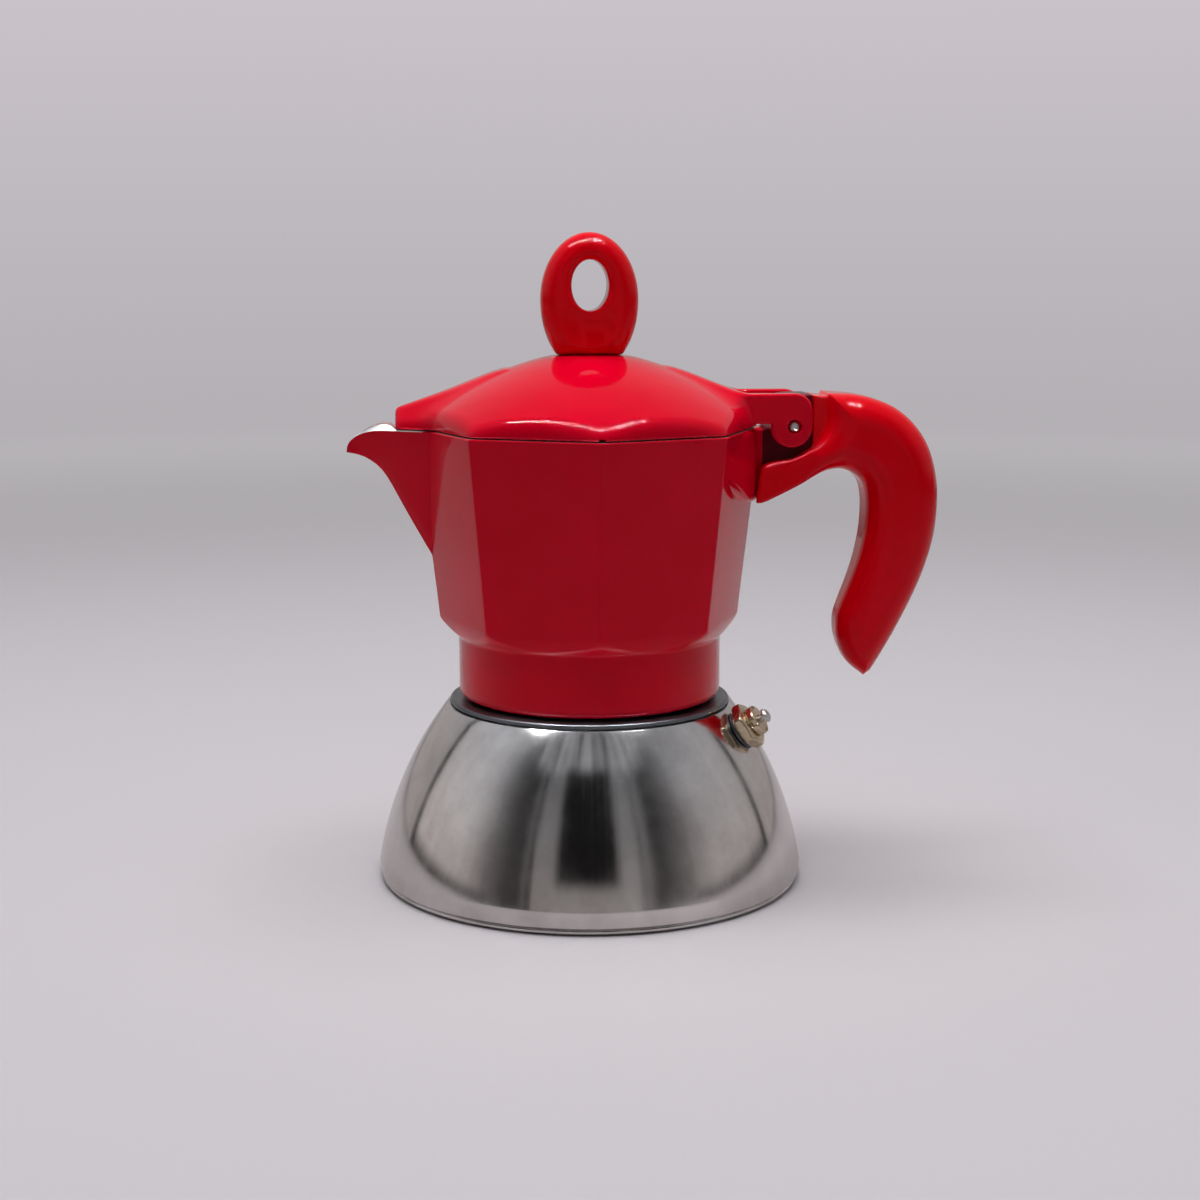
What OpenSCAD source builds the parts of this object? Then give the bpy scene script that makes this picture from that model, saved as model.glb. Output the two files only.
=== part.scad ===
// Moka pot with a steel-clad boiler, a screw-on octagonal collector,
// a lever handle and a hinged lid.
// Origin: centre of the base's rest face. +Z up, spout towards -X, handle towards +X.

/* [Boiler] */
// Widest diameter of the bell-shaped base
base_w = 95; // [90:0.5:100]
// Thickness of the steel base disc
base_disc_h = 1.4; // [1:0.1:2]
// Height of the widest circle above the table
base_wide_z = 4; // [3.5:0.1:5]
// Radius of the curve that the bell's side follows
dome_curve_r = 78; // [75:1:85]
// Height of the steel shell's upper edge
shell_top_z = 39.8; // [39.5:0.1:40]
// Diameter of the steel shell's upper edge
shell_mouth_w = 63.6; // [63:0.1:64.5]
// Thickness of the steel shell
shell_t = 1; // [0.8:0.1:1.2]
// Thickness of the aluminium liner
liner_t = 2; // [1.6:0.1:2.4]
// Outside diameter of the collar under the collector
collar_w = 62.4; // [61.5:0.1:62.8]
// Inside diameter of the boiler's mouth
mouth_w = 45.2; // [44.6:0.1:46]

/* [Screw thread] */
// Axial advance in one turn
thread_pitch = 3; // [2.8:0.1:3.2]
// Diameter at the foot of the boiler's thread
male_root_w = 50.4; // [50:0.1:50.8]
// Diameter at the crest of the boiler's thread
male_crest_w = 53; // [52.6:0.1:53.2]
// Diameter at the foot of the collector's thread
female_root_w = 54.2; // [54:0.1:54.6]
// Diameter at the crest of the collector's thread
female_crest_w = 51.8; // [51.6:0.1:52]

/* [Safety valve] */
// Height of the valve's seat on the bell
valve_z = 35.2; // [34:0.1:36]
// Direction of the valve seen from above, from the handle
valve_turn = -22.5; // [-30:0.5:-15]
// Width of the valve's hexagon across its flats
valve_hex_w = 9.4; // [8.8:0.1:10]
// Diameter of the valve's shank
valve_shank_w = 6; // [5.6:0.1:6.4]
// Outward travel of the relief pin
valve_travel = 1.5; // [1:0.1:1.8]

/* [Funnel and filter] */
// Outside diameter of the coffee basket
basket_w = 41.6; // [41:0.1:42.4]
// Depth of the coffee basket below its flange
basket_depth = 18; // [16:0.5:19]
// Outside diameter of the funnel's stem
stem_w = 8; // [7:0.1:9]
// Height of the funnel's lower end above the table
stem_end_z = 7; // [6:0.5:9]
// Diameter of the filter plate
filter_w = 43.6; // [43.2:0.1:43.8]
// Diameter of the holes in the filter plate and the strainer
sieve_hole_w = 1.3; // [1:0.1:1.5]

/* [Collector] */
// Outside diameter of the round neck
neck_w = 58.4; // [58:0.1:59]
// Height of the neck's lower edge
neck_bottom_z = 41.6; // [41.5:0.1:42]
// Height where the neck meets the underside of the jug
neck_top_z = 55.6; // [55:0.1:56]
// Height of the jug's lower corners
jug_bottom_z = 59.8; // [59:0.1:60.5]
// Height of the rim
rim_z = 101; // [99:0.5:103]
// Width of the octagon across its corners at the bottom
jug_bottom_w = 66.8; // [66:0.2:68]
// Width of the octagon across its corners at the rim
rim_w = 76.4; // [75:0.2:78]
// Thickness of the jug's wall
jug_wall = 2.6; // [2.4:0.1:3]
// Reach of the spout's tip from the axis
spout_reach = 53.2; // [51:0.2:55]
// Height of the column's top
column_top_z = 93; // [88:0.5:94]

/* [Handle] */
// Width of the handle
handle_w = 17.6; // [16:0.2:18]
// Reach of the handle from the axis
handle_reach = 77.4; // [76.6:0.2:79]

/* [Lid] */
// Height of the lid's flat top
lid_top_z = 117; // [116:0.2:118]
// Radius of the curve that the lid's crown follows
crown_curve_r = 72; // [68:1:80]
// Width of the octagon of the lid across its corners
lid_w = 76; // [75:0.2:76.4]
// Thickness of the lid
lid_t = 1.8; // [1.5:0.1:2.2]
// Diameter of the hinge pin
hinge_pin_w = 2.2; // [2:0.1:2.4]
// Distance of the hinge pin from the pot's axis
hinge_x = 44.2; // [44:0.1:44.6]
// Height of the hinge pin
hinge_z = 101.6; // [101.4:0.1:102]

/* [Knob] */
// Width of the knob
knob_w = 21.4; // [20:0.2:23]
// Height of the knob's top above the table
knob_top_z = 143.4; // [142:0.2:145]
// Thickness of the knob
knob_t = 10; // [8:0.2:12]

/* [Hidden] */

$fn = 96;
eps = 0.01;
small_gap = 0.1;
fit = 0.02;
steel = [0.78, 0.78, 0.80];
aluminium = [0.80, 0.80, 0.78];
dark_metal = [0.35, 0.35, 0.37];
nickel = [0.66, 0.58, 0.48];
rubber = [0.92, 0.90, 0.86];
red_paint = [0.76, 0.02, 0.10];
red_plastic = [0.70, 0.01, 0.08];

// Boiler
arc_steps = 20;
base_r = base_w / 2;
shell_mouth_r = shell_mouth_w / 2;
collar_r = collar_w / 2;
collar_top_z = neck_bottom_z - 0.6;
mouth_r = mouth_w / 2;
liner_gap = shell_t + small_gap;
liner_floor_z = base_disc_h + 2.6;
liner_top_z = shell_top_z - 1.4;
liner_mouth_r = 26;
neck_rim_z = 51.6;

// Centre of the bell's side curve, from its lowest and highest points
dome_centre = arc_centre([base_r, base_wide_z], [shell_mouth_r, shell_top_z], dome_curve_r);

// Thread: the boiler's ridge starts at thread_z, the collector's lies half a pitch higher
thread_z = 43.6;
male_turns = 2.2;
female_start = -0.4;
female_turns = 2.2;
ridge_half_foot = 0.9;
ridge_half_crest = 0.45;
ridge_bury = 0.5;
ridge_steps = 40;

// Safety valve, measured outwards from the bell's surface along the valve's own axis
valve_angle = asin((valve_z - dome_centre[1]) / dome_curve_r);
valve_r = dome_centre[0] + dome_curve_r * cos(valve_angle);
valve_hex_bottom = 0.4;
valve_hex_top = 3.4;
valve_cap_top = 5.2;
valve_cap_r = 3.4;
valve_shank_end = -5;
valve_seat = -3.2;
valve_chamber_r = 2.4;
valve_inlet_r = 1.5;
valve_plunger_r = 2.1;
valve_plunger_bottom = -2.4;
valve_plunger_top = -1.6;
valve_stem_r = 0.8;
valve_head_r = 1.6;
valve_head_bottom = 6.3;
valve_head_top = 7.6;
spring_r = 1.55;
spring_wire_r = 0.28;
spring_turns = 4;

// Funnel and filter
flange_z = neck_rim_z;
flange_t = 1.2;
flange_r = 24.8;
basket_wall = 0.8;
basket_r = basket_w / 2;
basket_floor_z = flange_z - basket_depth;
funnel_cone_h = 7;
stem_r = stem_w / 2;
filter_z = flange_z + flange_t;
filter_r = filter_w / 2;
filter_t = 0.8;
sieve_pitch = 4;
gasket_inner_r = filter_r + 0.35;
gasket_outer_r = 25.5;
gasket_z = filter_z + 0.05;
gasket_t = 3.4;

// Collector
neck_r = neck_w / 2;
neck_edge_r = 1.8;
neck_bead = 0.3;
female_root_r = female_root_w / 2;
gasket_pocket_r = 25.7;
pocket_start_z = 51.9;
pocket_top_z = gasket_z + gasket_t;
floor_z = 60;
dish_h = 1.4;
jug_bottom_r = jug_bottom_w / 2;
rim_r = rim_w / 2;
column_hole_r = 4.2;
column_bore_r = 3;
column_foot_r = 6.4;
column_tip_r = 4.6;

// Spout: half width at the jug's wall, how far back it starts and how full its sides are
spout_half_w = 8.1;
spout_tip_half_w = 0.5;
spout_root_x = 34.8;
spout_fullness = 0.75;
spout_bend_x = 43.2;
spout_bend_z = 88.2;
spout_wall = 1.7;
spout_lip_x = 45.5;
spout_tip_z = 96.4;
spout_foot_z = 73;

// Hinge
pad_x = 37.4;
pad_mid_half_w = 4;
pad_edge_x = 35.3;
pad_half_w = 9.2;
pad_bottom_z = 85;
pad_side_z = 92;
knuckle_half_w = 5;
knuckle_r = 4.4;
ear_inner_y = 5.5;
ear_outer_y = 9.2;
ear_r = 4.6;
ear_corner_r = 3.8;
ear_top_z = 108.8;
boss_x = hinge_x - 0.6;
ear_rise = 2.4;
hinge_pin_r = hinge_pin_w / 2;
running_clearance = 0.06;
web_end_x = 48.6;

// Handle
handle_pin_r = 1.2;
handle_pin_x = 42.6;
handle_pin_z = 91.2;
handle_slot_half_w = knuckle_half_w + small_gap;
handle_slot_x = web_end_x + 2 * small_gap;
handle_top_z = 108.4;
handle_cheek_x = 52.2;
handle_narrow_z = 80;
handle_tip_w = 12.5;
handle_tip_z = 40;

// Lid
lid_z = rim_z + 0.3;
lid_r = lid_w / 2;
lid_flat_r = 8;
lid_corner_z = 102.4;
nose_x = 42.5;
nose_half_w = 4.4;
nose_end_z = 105.6;

// Knob
knob_r = knob_w / 2;
knob_hole_w = 8;
knob_hole_h = 11;
knob_hole_z = 132;
knob_wide_z = 128.8;
knob_upper_h = knob_top_z - knob_wide_z;
knob_lower_h = 16;
knob_foot_angle = asin((knob_wide_z - lid_top_z) / knob_lower_h);
screw_r = 1.9;
screw_top_z = lid_top_z + 6;
screw_head_r = 3.4;
washer_r = 5;
washer_t = 0.8;

// ---------- shared geometry ----------

// Centre of the arc of radius r that bulges away from the axis through a and b
function arc_centre(a, b, r) =
    let (
        mid = (a + b) / 2,
        half = norm(b - a) / 2,
        dir = (b - a) / norm(b - a),
        inward = [-dir[1], dir[0]]
    )
    mid + inward * sqrt(r * r - half * half);

// Points of a circular arc
function arc_points(c, r, a0, a1, n) =
    [for (i = [0 : n]) let (a = a0 + (a1 - a0) * i / n) c + r * [cos(a), sin(a)]];

// Points of an elliptical arc with half axes rx and ry
function ellipse_arc(c, rx, ry, a0, a1, n) =
    [for (i = [0 : n]) let (a = a0 + (a1 - a0) * i / n) c + [rx * cos(a), ry * sin(a)]];

// Angle on the bell's curve at height z, for a surface d inside it
function dome_angle(z, d) = asin((z - dome_centre[1]) / (dome_curve_r - d));

// Points of the bell's side, d inside its outer surface, from height z0 to z1
function dome_points(d, z0, z1) =
    arc_points(dome_centre, dome_curve_r - d, dome_angle(z0, d), dome_angle(z1, d), arc_steps);

// Smooth curve through the given points (Catmull-Rom), n steps in each span
function spline(p, n) = concat(
    [for (i = [0 : len(p) - 2], k = [0 : n - 1])
        let (
            a = p[max(i - 1, 0)],
            b = p[i],
            c = p[i + 1],
            d = p[min(i + 2, len(p) - 1)],
            t = k / n
        )
        0.5 * ((2 * b) + (c - a) * t + (2 * a - 5 * b + 4 * c - d) * t * t
            + (3 * b - a - 3 * c + d) * t * t * t)],
    [p[len(p) - 1]]
);

// Regular octagon with corners on the X and Y axes
function octagon(r) = [for (k = [0 : 7]) r * [cos(45 * k), sin(45 * k)]];

// Corner radius of the jug's octagon at height z
function jug_r(z) =
    jug_bottom_r + (rim_r - jug_bottom_r) * (z - jug_bottom_z) / (rim_z - jug_bottom_z);

// Octagonal frustum
module octagon_frustum(r0, r1, z0, z1) {
    translate([0, 0, z0])
        linear_extrude(height = z1 - z0, scale = r1 / r0)
            polygon(octagon(r0));
}

// Outline in the XZ plane, extruded from y0 to y1
module side_extrude(y0, y1) {
    translate([0, y1, 0])
        rotate([90, 0, 0])
            linear_extrude(height = y1 - y0)
                children();
}

// Solid lofted through rings of points that all have the same count
module loft(rings) {
    n = len(rings[0]);
    last = len(rings) - 1;
    sides = [for (i = [0 : last - 1], k = [0 : n - 1])
        let (a = i * n + k, b = i * n + (k + 1) % n)
        each [[a, b, b + n], [a, b + n, a + n]]];
    ends = [[for (k = [n - 1 : -1 : 0]) k], [for (k = [0 : n - 1]) last * n + k]];
    polyhedron(points = [for (ring = rings) each ring], faces = concat(sides, ends));
}

// Helical thread ridge from the foot radius to the crest radius
module thread_ridge(foot_r, crest_r, start_turn, turns, z) {
    steps = ceil(turns * ridge_steps);
    inside_out = crest_r < foot_r;
    rings = [for (i = [0 : steps])
        let (
            turn = start_turn + turns * i / steps,
            a = 360 * turn,
            h = z + thread_pitch * turn,
            outline = [
                [foot_r, -ridge_half_foot],
                [crest_r, -ridge_half_crest],
                [crest_r, ridge_half_crest],
                [foot_r, ridge_half_foot]
            ]
        )
        [for (k = [0 : 3])
            let (p = outline[inside_out ? 3 - k : k])
            [p[0] * cos(a), p[0] * sin(a), h + p[1]]]];
    loft(rings);
}

// Staggered grid of small holes within a radius, leaving the middle free
module sieve_holes(hole_r, field_r, clear_r, z, h) {
    rows = ceil(field_r / sieve_pitch);
    for (i = [-rows : rows], j = [-rows : rows]) {
        p = sieve_pitch * [i + j / 2, j * sqrt(3) / 2];
        if (norm(p) < field_r && norm(p) >= clear_r)
            translate([p[0], p[1], z])
                cylinder(r = hole_r, h = h, $fn = 16);
    }
}

// Places its children with +Z along the safety valve's axis, pointing out of the bell
module on_valve_axis() {
    rotate([0, 0, valve_turn])
        translate([valve_r, 0, valve_z])
            rotate([0, 90 - valve_angle, 0])
                children();
}

// ---------- boiler ----------

// Steel disc that the pot stands on, with shallow rings turned into its underside
module base_disc() {
    disc_r = base_r - 0.6;
    edge_r = 0.5;
    ring_d = 0.3;
    ring_w = 1;
    ring_pitch = 8;
    first_ring_r = 12;
    last_ring_r = 36;
    color(steel)
        difference() {
            rotate_extrude()
                polygon(concat(
                    [[0, 0]],
                    arc_points([disc_r - edge_r, edge_r], edge_r, -90, 0, 5),
                    [[disc_r, base_disc_h], [0, base_disc_h]]
                ));
            for (r = [first_ring_r : ring_pitch : last_ring_r])
                translate([0, 0, -eps])
                    difference() {
                        cylinder(r = r + ring_w, h = ring_d + eps);
                        translate([0, 0, -eps])
                            cylinder(r = r, h = ring_d + 3 * eps);
                    }
        }
}

// Hole for the valve's shank, from outside the bell down to this depth
module valve_hole(depth) {
    outside_h = 2;
    on_valve_axis()
        translate([0, 0, -depth])
            cylinder(r = valve_shank_w / 2 + fit, h = depth + outside_h);
}

// Polished steel bell around the boiler
module boiler_shell() {
    foot_inset = 0.4;
    color(steel)
        difference() {
            rotate_extrude()
                polygon(concat(
                    [[base_r - shell_t, base_disc_h], [base_r - foot_inset, base_disc_h]],
                    dome_points(0, base_wide_z, shell_top_z),
                    dome_points(shell_t, shell_top_z, base_wide_z)
                ));
            valve_hole(2 * shell_t);
        }
}

// Aluminium vessel that holds the water
module boiler_liner() {
    shoulder_w = 3;
    shoulder_h = 3.2;
    mouth_depth = 4;
    color(aluminium)
        difference() {
            rotate_extrude()
                polygon(concat(
                    [[0, base_disc_h], [base_r - liner_gap, base_disc_h]],
                    dome_points(liner_gap, base_wide_z, liner_top_z),
                    [[liner_mouth_r, liner_top_z], [liner_mouth_r + shoulder_w, liner_top_z - shoulder_h]],
                    dome_points(liner_gap + liner_t, liner_top_z - mouth_depth, liner_floor_z),
                    [[0, liner_floor_z]]
                ));
            valve_hole(4 * liner_t);
        }
}

// Turned ring with the collar and the outside thread
module boiler_neck() {
    collar_edge = 0.8;
    joint_r = shell_mouth_r - 1.7;
    root_r = male_root_w / 2;
    top_edge = 0.4;
    color(dark_metal) {
        rotate_extrude()
            polygon(concat(
                [
                    [mouth_r, liner_top_z],
                    [joint_r, liner_top_z],
                    [joint_r, shell_top_z],
                    [collar_r, shell_top_z]
                ],
                arc_points([collar_r - collar_edge, collar_top_z - collar_edge], collar_edge, 0, 90, 6),
                [
                    [root_r, collar_top_z],
                    [root_r, neck_rim_z - top_edge],
                    [root_r - top_edge, neck_rim_z],
                    [mouth_r, neck_rim_z]
                ]
            ));
        thread_ridge(root_r - ridge_bury, male_crest_w / 2, 0, male_turns, thread_z);
    }
}

// ---------- safety valve ----------

// Sealing ring under the valve's hexagon
module valve_washer() {
    inset = 0.3;
    color(dark_metal)
        on_valve_axis()
            difference() {
                cylinder(r = valve_hex_w / 2 - inset, h = valve_hex_bottom);
                translate([0, 0, -eps])
                    cylinder(r = valve_shank_w / 2, h = valve_hex_bottom + 2 * eps);
            }
}

// Hexagonal valve body with its shank, inlet and spring chamber
module valve_body() {
    corner_r = valve_hex_w / 2 / cos(30);
    turned_r = corner_r + small_gap;
    chamfer = 0.7;
    hex_h = valve_hex_top - valve_hex_bottom;
    color(nickel)
        on_valve_axis()
            difference() {
                union() {
                    intersection() {
                        translate([0, 0, valve_hex_bottom])
                            cylinder(r = corner_r, h = hex_h, $fn = 6);
                        rotate_extrude()
                            polygon([
                                [0, valve_hex_bottom],
                                [turned_r, valve_hex_bottom],
                                [turned_r, valve_hex_top - chamfer],
                                [corner_r - 2 * chamfer, valve_hex_top],
                                [0, valve_hex_top]
                            ]);
                    }
                    translate([0, 0, valve_shank_end])
                        cylinder(r = valve_shank_w / 2, h = valve_hex_bottom - valve_shank_end + eps);
                }
                translate([0, 0, valve_shank_end - eps])
                    cylinder(r = valve_inlet_r, h = valve_hex_top - valve_shank_end);
                translate([0, 0, valve_seat])
                    cylinder(r = valve_chamber_r, h = valve_hex_top - valve_seat + eps);
            }
}

// Slotted cap that closes the spring chamber and guides the pin
module valve_cap() {
    slot_w = 1.2;
    slot_d = 0.9;
    slot_floor = 0.5;
    edge = 0.3;
    bore_r = valve_stem_r + 0.15;
    color(nickel)
        on_valve_axis()
            difference() {
                rotate_extrude()
                    polygon([
                        [bore_r, valve_hex_top],
                        [valve_cap_r, valve_hex_top],
                        [valve_cap_r, valve_cap_top - edge],
                        [valve_cap_r - edge, valve_cap_top],
                        [bore_r, valve_cap_top]
                    ]);
                for (a = [0 : 90 : 270])
                    rotate([0, 0, a])
                        translate([valve_cap_r - slot_d, -slot_w / 2, valve_hex_top + slot_floor])
                            cube([2 * slot_d, slot_w, valve_cap_top - valve_hex_top]);
            }
}

// Coil spring that holds the pin on its seat
module valve_spring() {
    z0 = valve_plunger_top + spring_wire_r + fit;
    z1 = valve_hex_top - spring_wire_r - fit;
    per_turn = 14;
    wire_sides = 8;
    steps = spring_turns * per_turn;
    color(steel)
        on_valve_axis()
            loft([for (i = [0 : steps])
                let (a = 360 * i / per_turn, z = z0 + (z1 - z0) * i / steps)
                [for (k = [0 : wire_sides - 1])
                    let (
                        b = 360 * k / wire_sides,
                        r = spring_r + spring_wire_r * cos(b)
                    )
                    [r * cos(a), r * sin(a), z + spring_wire_r * sin(b)]]]);
}

// Relief pin: plunger, stem and the round head that shows outside
module valve_pin() {
    head_edge_z = valve_head_bottom + 0.4;
    color(steel)
        on_valve_axis()
            rotate_extrude()
                polygon(concat(
                    [
                        [0, valve_plunger_bottom],
                        [valve_plunger_r, valve_plunger_bottom],
                        [valve_plunger_r, valve_plunger_top],
                        [valve_stem_r, valve_plunger_top],
                        [valve_stem_r, valve_head_bottom],
                        [valve_head_r, valve_head_bottom]
                    ],
                    [for (a = [0 : 15 : 90])
                        [
                            valve_head_r * cos(a),
                            head_edge_z + (valve_head_top - head_edge_z) * sin(a)
                        ]]
                ));
}

// Rubber disc under the plunger
module valve_seal() {
    inset = 0.2;
    bottom = valve_seat + 0.05;
    color(rubber)
        on_valve_axis()
            translate([0, 0, bottom])
                cylinder(r = valve_plunger_r - inset, h = valve_plunger_bottom - bottom);
}

// ---------- funnel and filter ----------

// Spun aluminium coffee basket with its flange and the cone under it
module funnel_basket() {
    cone_z = basket_floor_z - funnel_cone_h;
    socket_z = cone_z - 1;
    inner_r = basket_r - basket_wall;
    bead = 1.6;
    color(aluminium)
        rotate_extrude()
            polygon([
                [stem_r, socket_z],
                [stem_r + basket_wall, socket_z],
                [stem_r + basket_wall, cone_z],
                [basket_r, basket_floor_z],
                [basket_r, flange_z],
                [flange_r, flange_z],
                [flange_r, flange_z + flange_t],
                [inner_r, flange_z + flange_t],
                [inner_r, basket_floor_z + bead],
                [inner_r - bead, basket_floor_z + bead],
                [inner_r - bead, basket_floor_z + basket_wall / 4],
                [stem_r, cone_z + basket_wall]
            ]);
}

// Tube that brings the water up to the basket
module funnel_stem() {
    top_z = basket_floor_z - funnel_cone_h + basket_wall;
    color(aluminium)
        difference() {
            translate([0, 0, stem_end_z])
                cylinder(r = stem_r, h = top_z - stem_end_z);
            translate([0, 0, stem_end_z - eps])
                cylinder(r = stem_r - basket_wall, h = top_z - stem_end_z + 2 * eps);
        }
}

// Perforated disc that carries the coffee in the basket
module funnel_strainer() {
    disc_r = basket_r - basket_wall - 0.15;
    blank_w = 1.8;
    z = basket_floor_z + 1.6;
    t = 0.8;
    color(aluminium)
        difference() {
            translate([0, 0, z])
                cylinder(r = disc_r, h = t);
            sieve_holes(sieve_hole_w / 2, disc_r - blank_w, 0, z - eps, t + 2 * eps);
        }
}

// Loose perforated plate between the basket and the collector
module filter_plate() {
    blank_w = 3.4;
    color(aluminium)
        difference() {
            translate([0, 0, filter_z])
                cylinder(r = filter_r, h = filter_t);
            sieve_holes(sieve_hole_w / 2, filter_r - blank_w, 0, filter_z - eps, filter_t + 2 * eps);
        }
}

// Rubber ring that seals the collector on the funnel's flange
module gasket() {
    color(rubber)
        translate([0, 0, gasket_z])
            difference() {
                cylinder(r = gasket_outer_r, h = gasket_t);
                translate([0, 0, -eps])
                    cylinder(r = gasket_inner_r, h = gasket_t + 2 * eps);
            }
}

// ---------- collector ----------

// Cross-section of the spout at distance x from the axis, shrunk by the wall t
function spout_section(x, t) =
    let (
        f = pow((spout_reach - x) / (spout_reach - spout_root_x), spout_fullness),
        side_t = 1.1 * t,
        keel_t = 1.6 * t,
        open_h = 3,
        top = x < spout_lip_x ? rim_z
            : spout_tip_z + (rim_z - spout_tip_z)
                * sqrt(1 - pow((x - spout_lip_x) / (spout_reach - spout_lip_x), 2)),
        keel = spout_keel(x),
        half = spout_tip_half_w + (spout_half_w - spout_tip_half_w) * f - side_t
    )
    t == 0
        ? [[-x, -half, top], [-x, 0, keel], [-x, half, top]]
        : [[-x, -half, top + open_h], [-x, -half, top], [-x, 0, keel + keel_t],
            [-x, half, top], [-x, half, top + open_h]];

// Height of the spout's keel: a straight slope that turns out towards the tip
function spout_keel(x) =
    let (
        foot_x = spout_root_x + 0.2,
        end_z = spout_tip_z - 0.6,
        f = (x - spout_bend_x) / (spout_reach - spout_bend_x)
    )
    x < spout_bend_x
        ? spout_foot_z + (spout_bend_z - spout_foot_z) * (x - foot_x) / (spout_bend_x - foot_x)
        : spout_bend_z + (end_z - spout_bend_z) * sin(90 * pow(f, 0.8));

// Outside of the spout
module spout_outside() {
    loft([for (x = [30, 35, 39, spout_bend_x, 44.6, 46, 47.6, 49.4, 51.4, spout_reach])
        spout_section(x, 0)]);
}

// Open channel of the spout, from the jug's inside to past the tip
module spout_channel() {
    loft([for (x = [27, 35, 39, spout_bend_x, 44.6, 46, 47.6, 49.4])
        spout_section(x, spout_wall)]);
}

// Lower edge of the knuckle's web, d below it, from inside the jug to the web's end
function web_floor(d) = [[32, 86.6 - d], [38, 86.6 - d], [web_end_x, 91.6 - d]];

// Side outline of the knuckle that carries the hinge pin and enters the handle
module knuckle_outline() {
    seat_z = hinge_z - 0.6;
    for (z = [hinge_z, hinge_z + ear_rise])
        translate([boss_x, z])
            circle(r = knuckle_r);
    translate([boss_x - knuckle_r, hinge_z])
        square([knuckle_r, ear_rise]);
    translate([boss_x, hinge_z])
        square([web_end_x - boss_x, ear_rise + knuckle_r]);
    polygon(concat(
        web_floor(0),
        [[web_end_x, hinge_z + ear_rise], [boss_x - knuckle_r, seat_z], [32, rim_z - 1]]
    ));
}

// Outline of the pad behind the hinge, seen from above and d outside its face
module pad_face_outline(d) {
    back_x = 20;
    polygon([
        [back_x, -pad_half_w - d], [pad_edge_x + d, -pad_half_w - d],
        [pad_x + d, -pad_mid_half_w], [pad_x + d, pad_mid_half_w],
        [pad_edge_x + d, pad_half_w + d], [back_x, pad_half_w + d]
    ]);
}

// Pad behind the hinge, faired into the two nearest corners of the jug
module hinge_pad() {
    corner = rim_r / sqrt(2);
    fairing_x = corner - 2.2;
    fairing_y = corner - 1.6;
    plate_t = 1.4;
    edge_t = 0.2;
    hull() {
        translate([0, 0, pad_bottom_z])
            linear_extrude(height = rim_z - pad_bottom_z)
                pad_face_outline(0);
        for (s = [-1, 1])
            translate([fairing_x, s * fairing_y - edge_t / 2, pad_side_z])
                cube([plate_t, edge_t, rim_z - pad_side_z]);
    }
}

// Cast jug with the threaded neck, spout and hinge knuckle
module collector() {
    bore_z = neck_bottom_z - 1;
    lead_in = 0.6;
    roof_inset = 2;
    neck_edge_centre = [neck_r - neck_edge_r, neck_bottom_z + neck_edge_r];
    color(red_paint) {
        difference() {
            union() {
                // Neck, rounded at its lower edge
                rotate_extrude()
                    polygon(concat(
                        [[0, neck_bottom_z]],
                        arc_points(neck_edge_centre, neck_edge_r, -90, 0, 6),
                        [[neck_r, neck_top_z + 1], [0, neck_top_z + 1]]
                    ));
                // Underside of the jug, from the round neck to the octagon
                hull() {
                    translate([0, 0, neck_top_z])
                        cylinder(r = neck_r + neck_bead, h = 0.2, $fn = 48);
                    translate([0, 0, jug_bottom_z - 0.1])
                        linear_extrude(height = 0.1)
                            polygon(octagon(jug_bottom_r));
                }
                octagon_frustum(jug_bottom_r, rim_r, jug_bottom_z, rim_z);
                spout_outside();
                hinge_pad();
                side_extrude(-knuckle_half_w, knuckle_half_w)
                    knuckle_outline();
            }
            // Room for coffee
            octagon_frustum(jug_bottom_r - jug_wall, jug_r(rim_z + 1) - jug_wall, floor_z, rim_z + 1);
            // Bore for the boiler's neck, then the gasket's pocket and the dish above the filter
            translate([0, 0, bore_z])
                cylinder(r = female_root_r, h = pocket_start_z - bore_z);
            translate([0, 0, neck_bottom_z - eps])
                cylinder(r1 = female_root_r + lead_in, r2 = female_root_r, h = lead_in);
            translate([0, 0, pocket_start_z - eps])
                cylinder(r = gasket_pocket_r, h = pocket_top_z - pocket_start_z + eps);
            translate([0, 0, pocket_top_z - eps])
                cylinder(r1 = gasket_inner_r - roof_inset, r2 = column_hole_r + 1, h = dish_h);
            translate([0, 0, pocket_top_z])
                cylinder(r = column_hole_r, h = floor_z - pocket_top_z + eps);
            spout_channel();
            // Holes for the hinge pin and the handle's pin
            side_extrude(-handle_w, handle_w) {
                translate([hinge_x, hinge_z])
                    circle(r = hinge_pin_r);
                translate([handle_pin_x, handle_pin_z])
                    circle(r = handle_pin_r);
            }
        }
        thread_ridge(
            female_root_r + ridge_bury, female_crest_w / 2,
            female_start, female_turns, thread_z + thread_pitch / 2
        );
    }
}

// Tapered column that brings the coffee up, with side outlets under its cap
module column() {
    spigot_z = pocket_top_z + dish_h;
    cap_t = 1.6;
    edge_r = 1.2;
    outlet_h = 5;
    outlet_w = 3.2;
    outlet_z = column_top_z - cap_t - outlet_h - 1;
    color(aluminium)
        difference() {
            rotate_extrude()
                polygon(concat(
                    [
                        [0, spigot_z],
                        [column_hole_r, spigot_z],
                        [column_hole_r, floor_z],
                        [column_foot_r, floor_z]
                    ],
                    arc_points([column_tip_r - edge_r, column_top_z - edge_r], edge_r, 0, 90, 5),
                    [[0, column_top_z]]
                ));
            translate([0, 0, spigot_z - eps])
                cylinder(r = column_bore_r, h = column_top_z - cap_t - spigot_z);
            translate([-column_foot_r - 1, -outlet_w / 2, outlet_z])
                cube([2 * column_foot_r + 2, outlet_w, outlet_h]);
        }
}

// ---------- handle ----------

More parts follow.
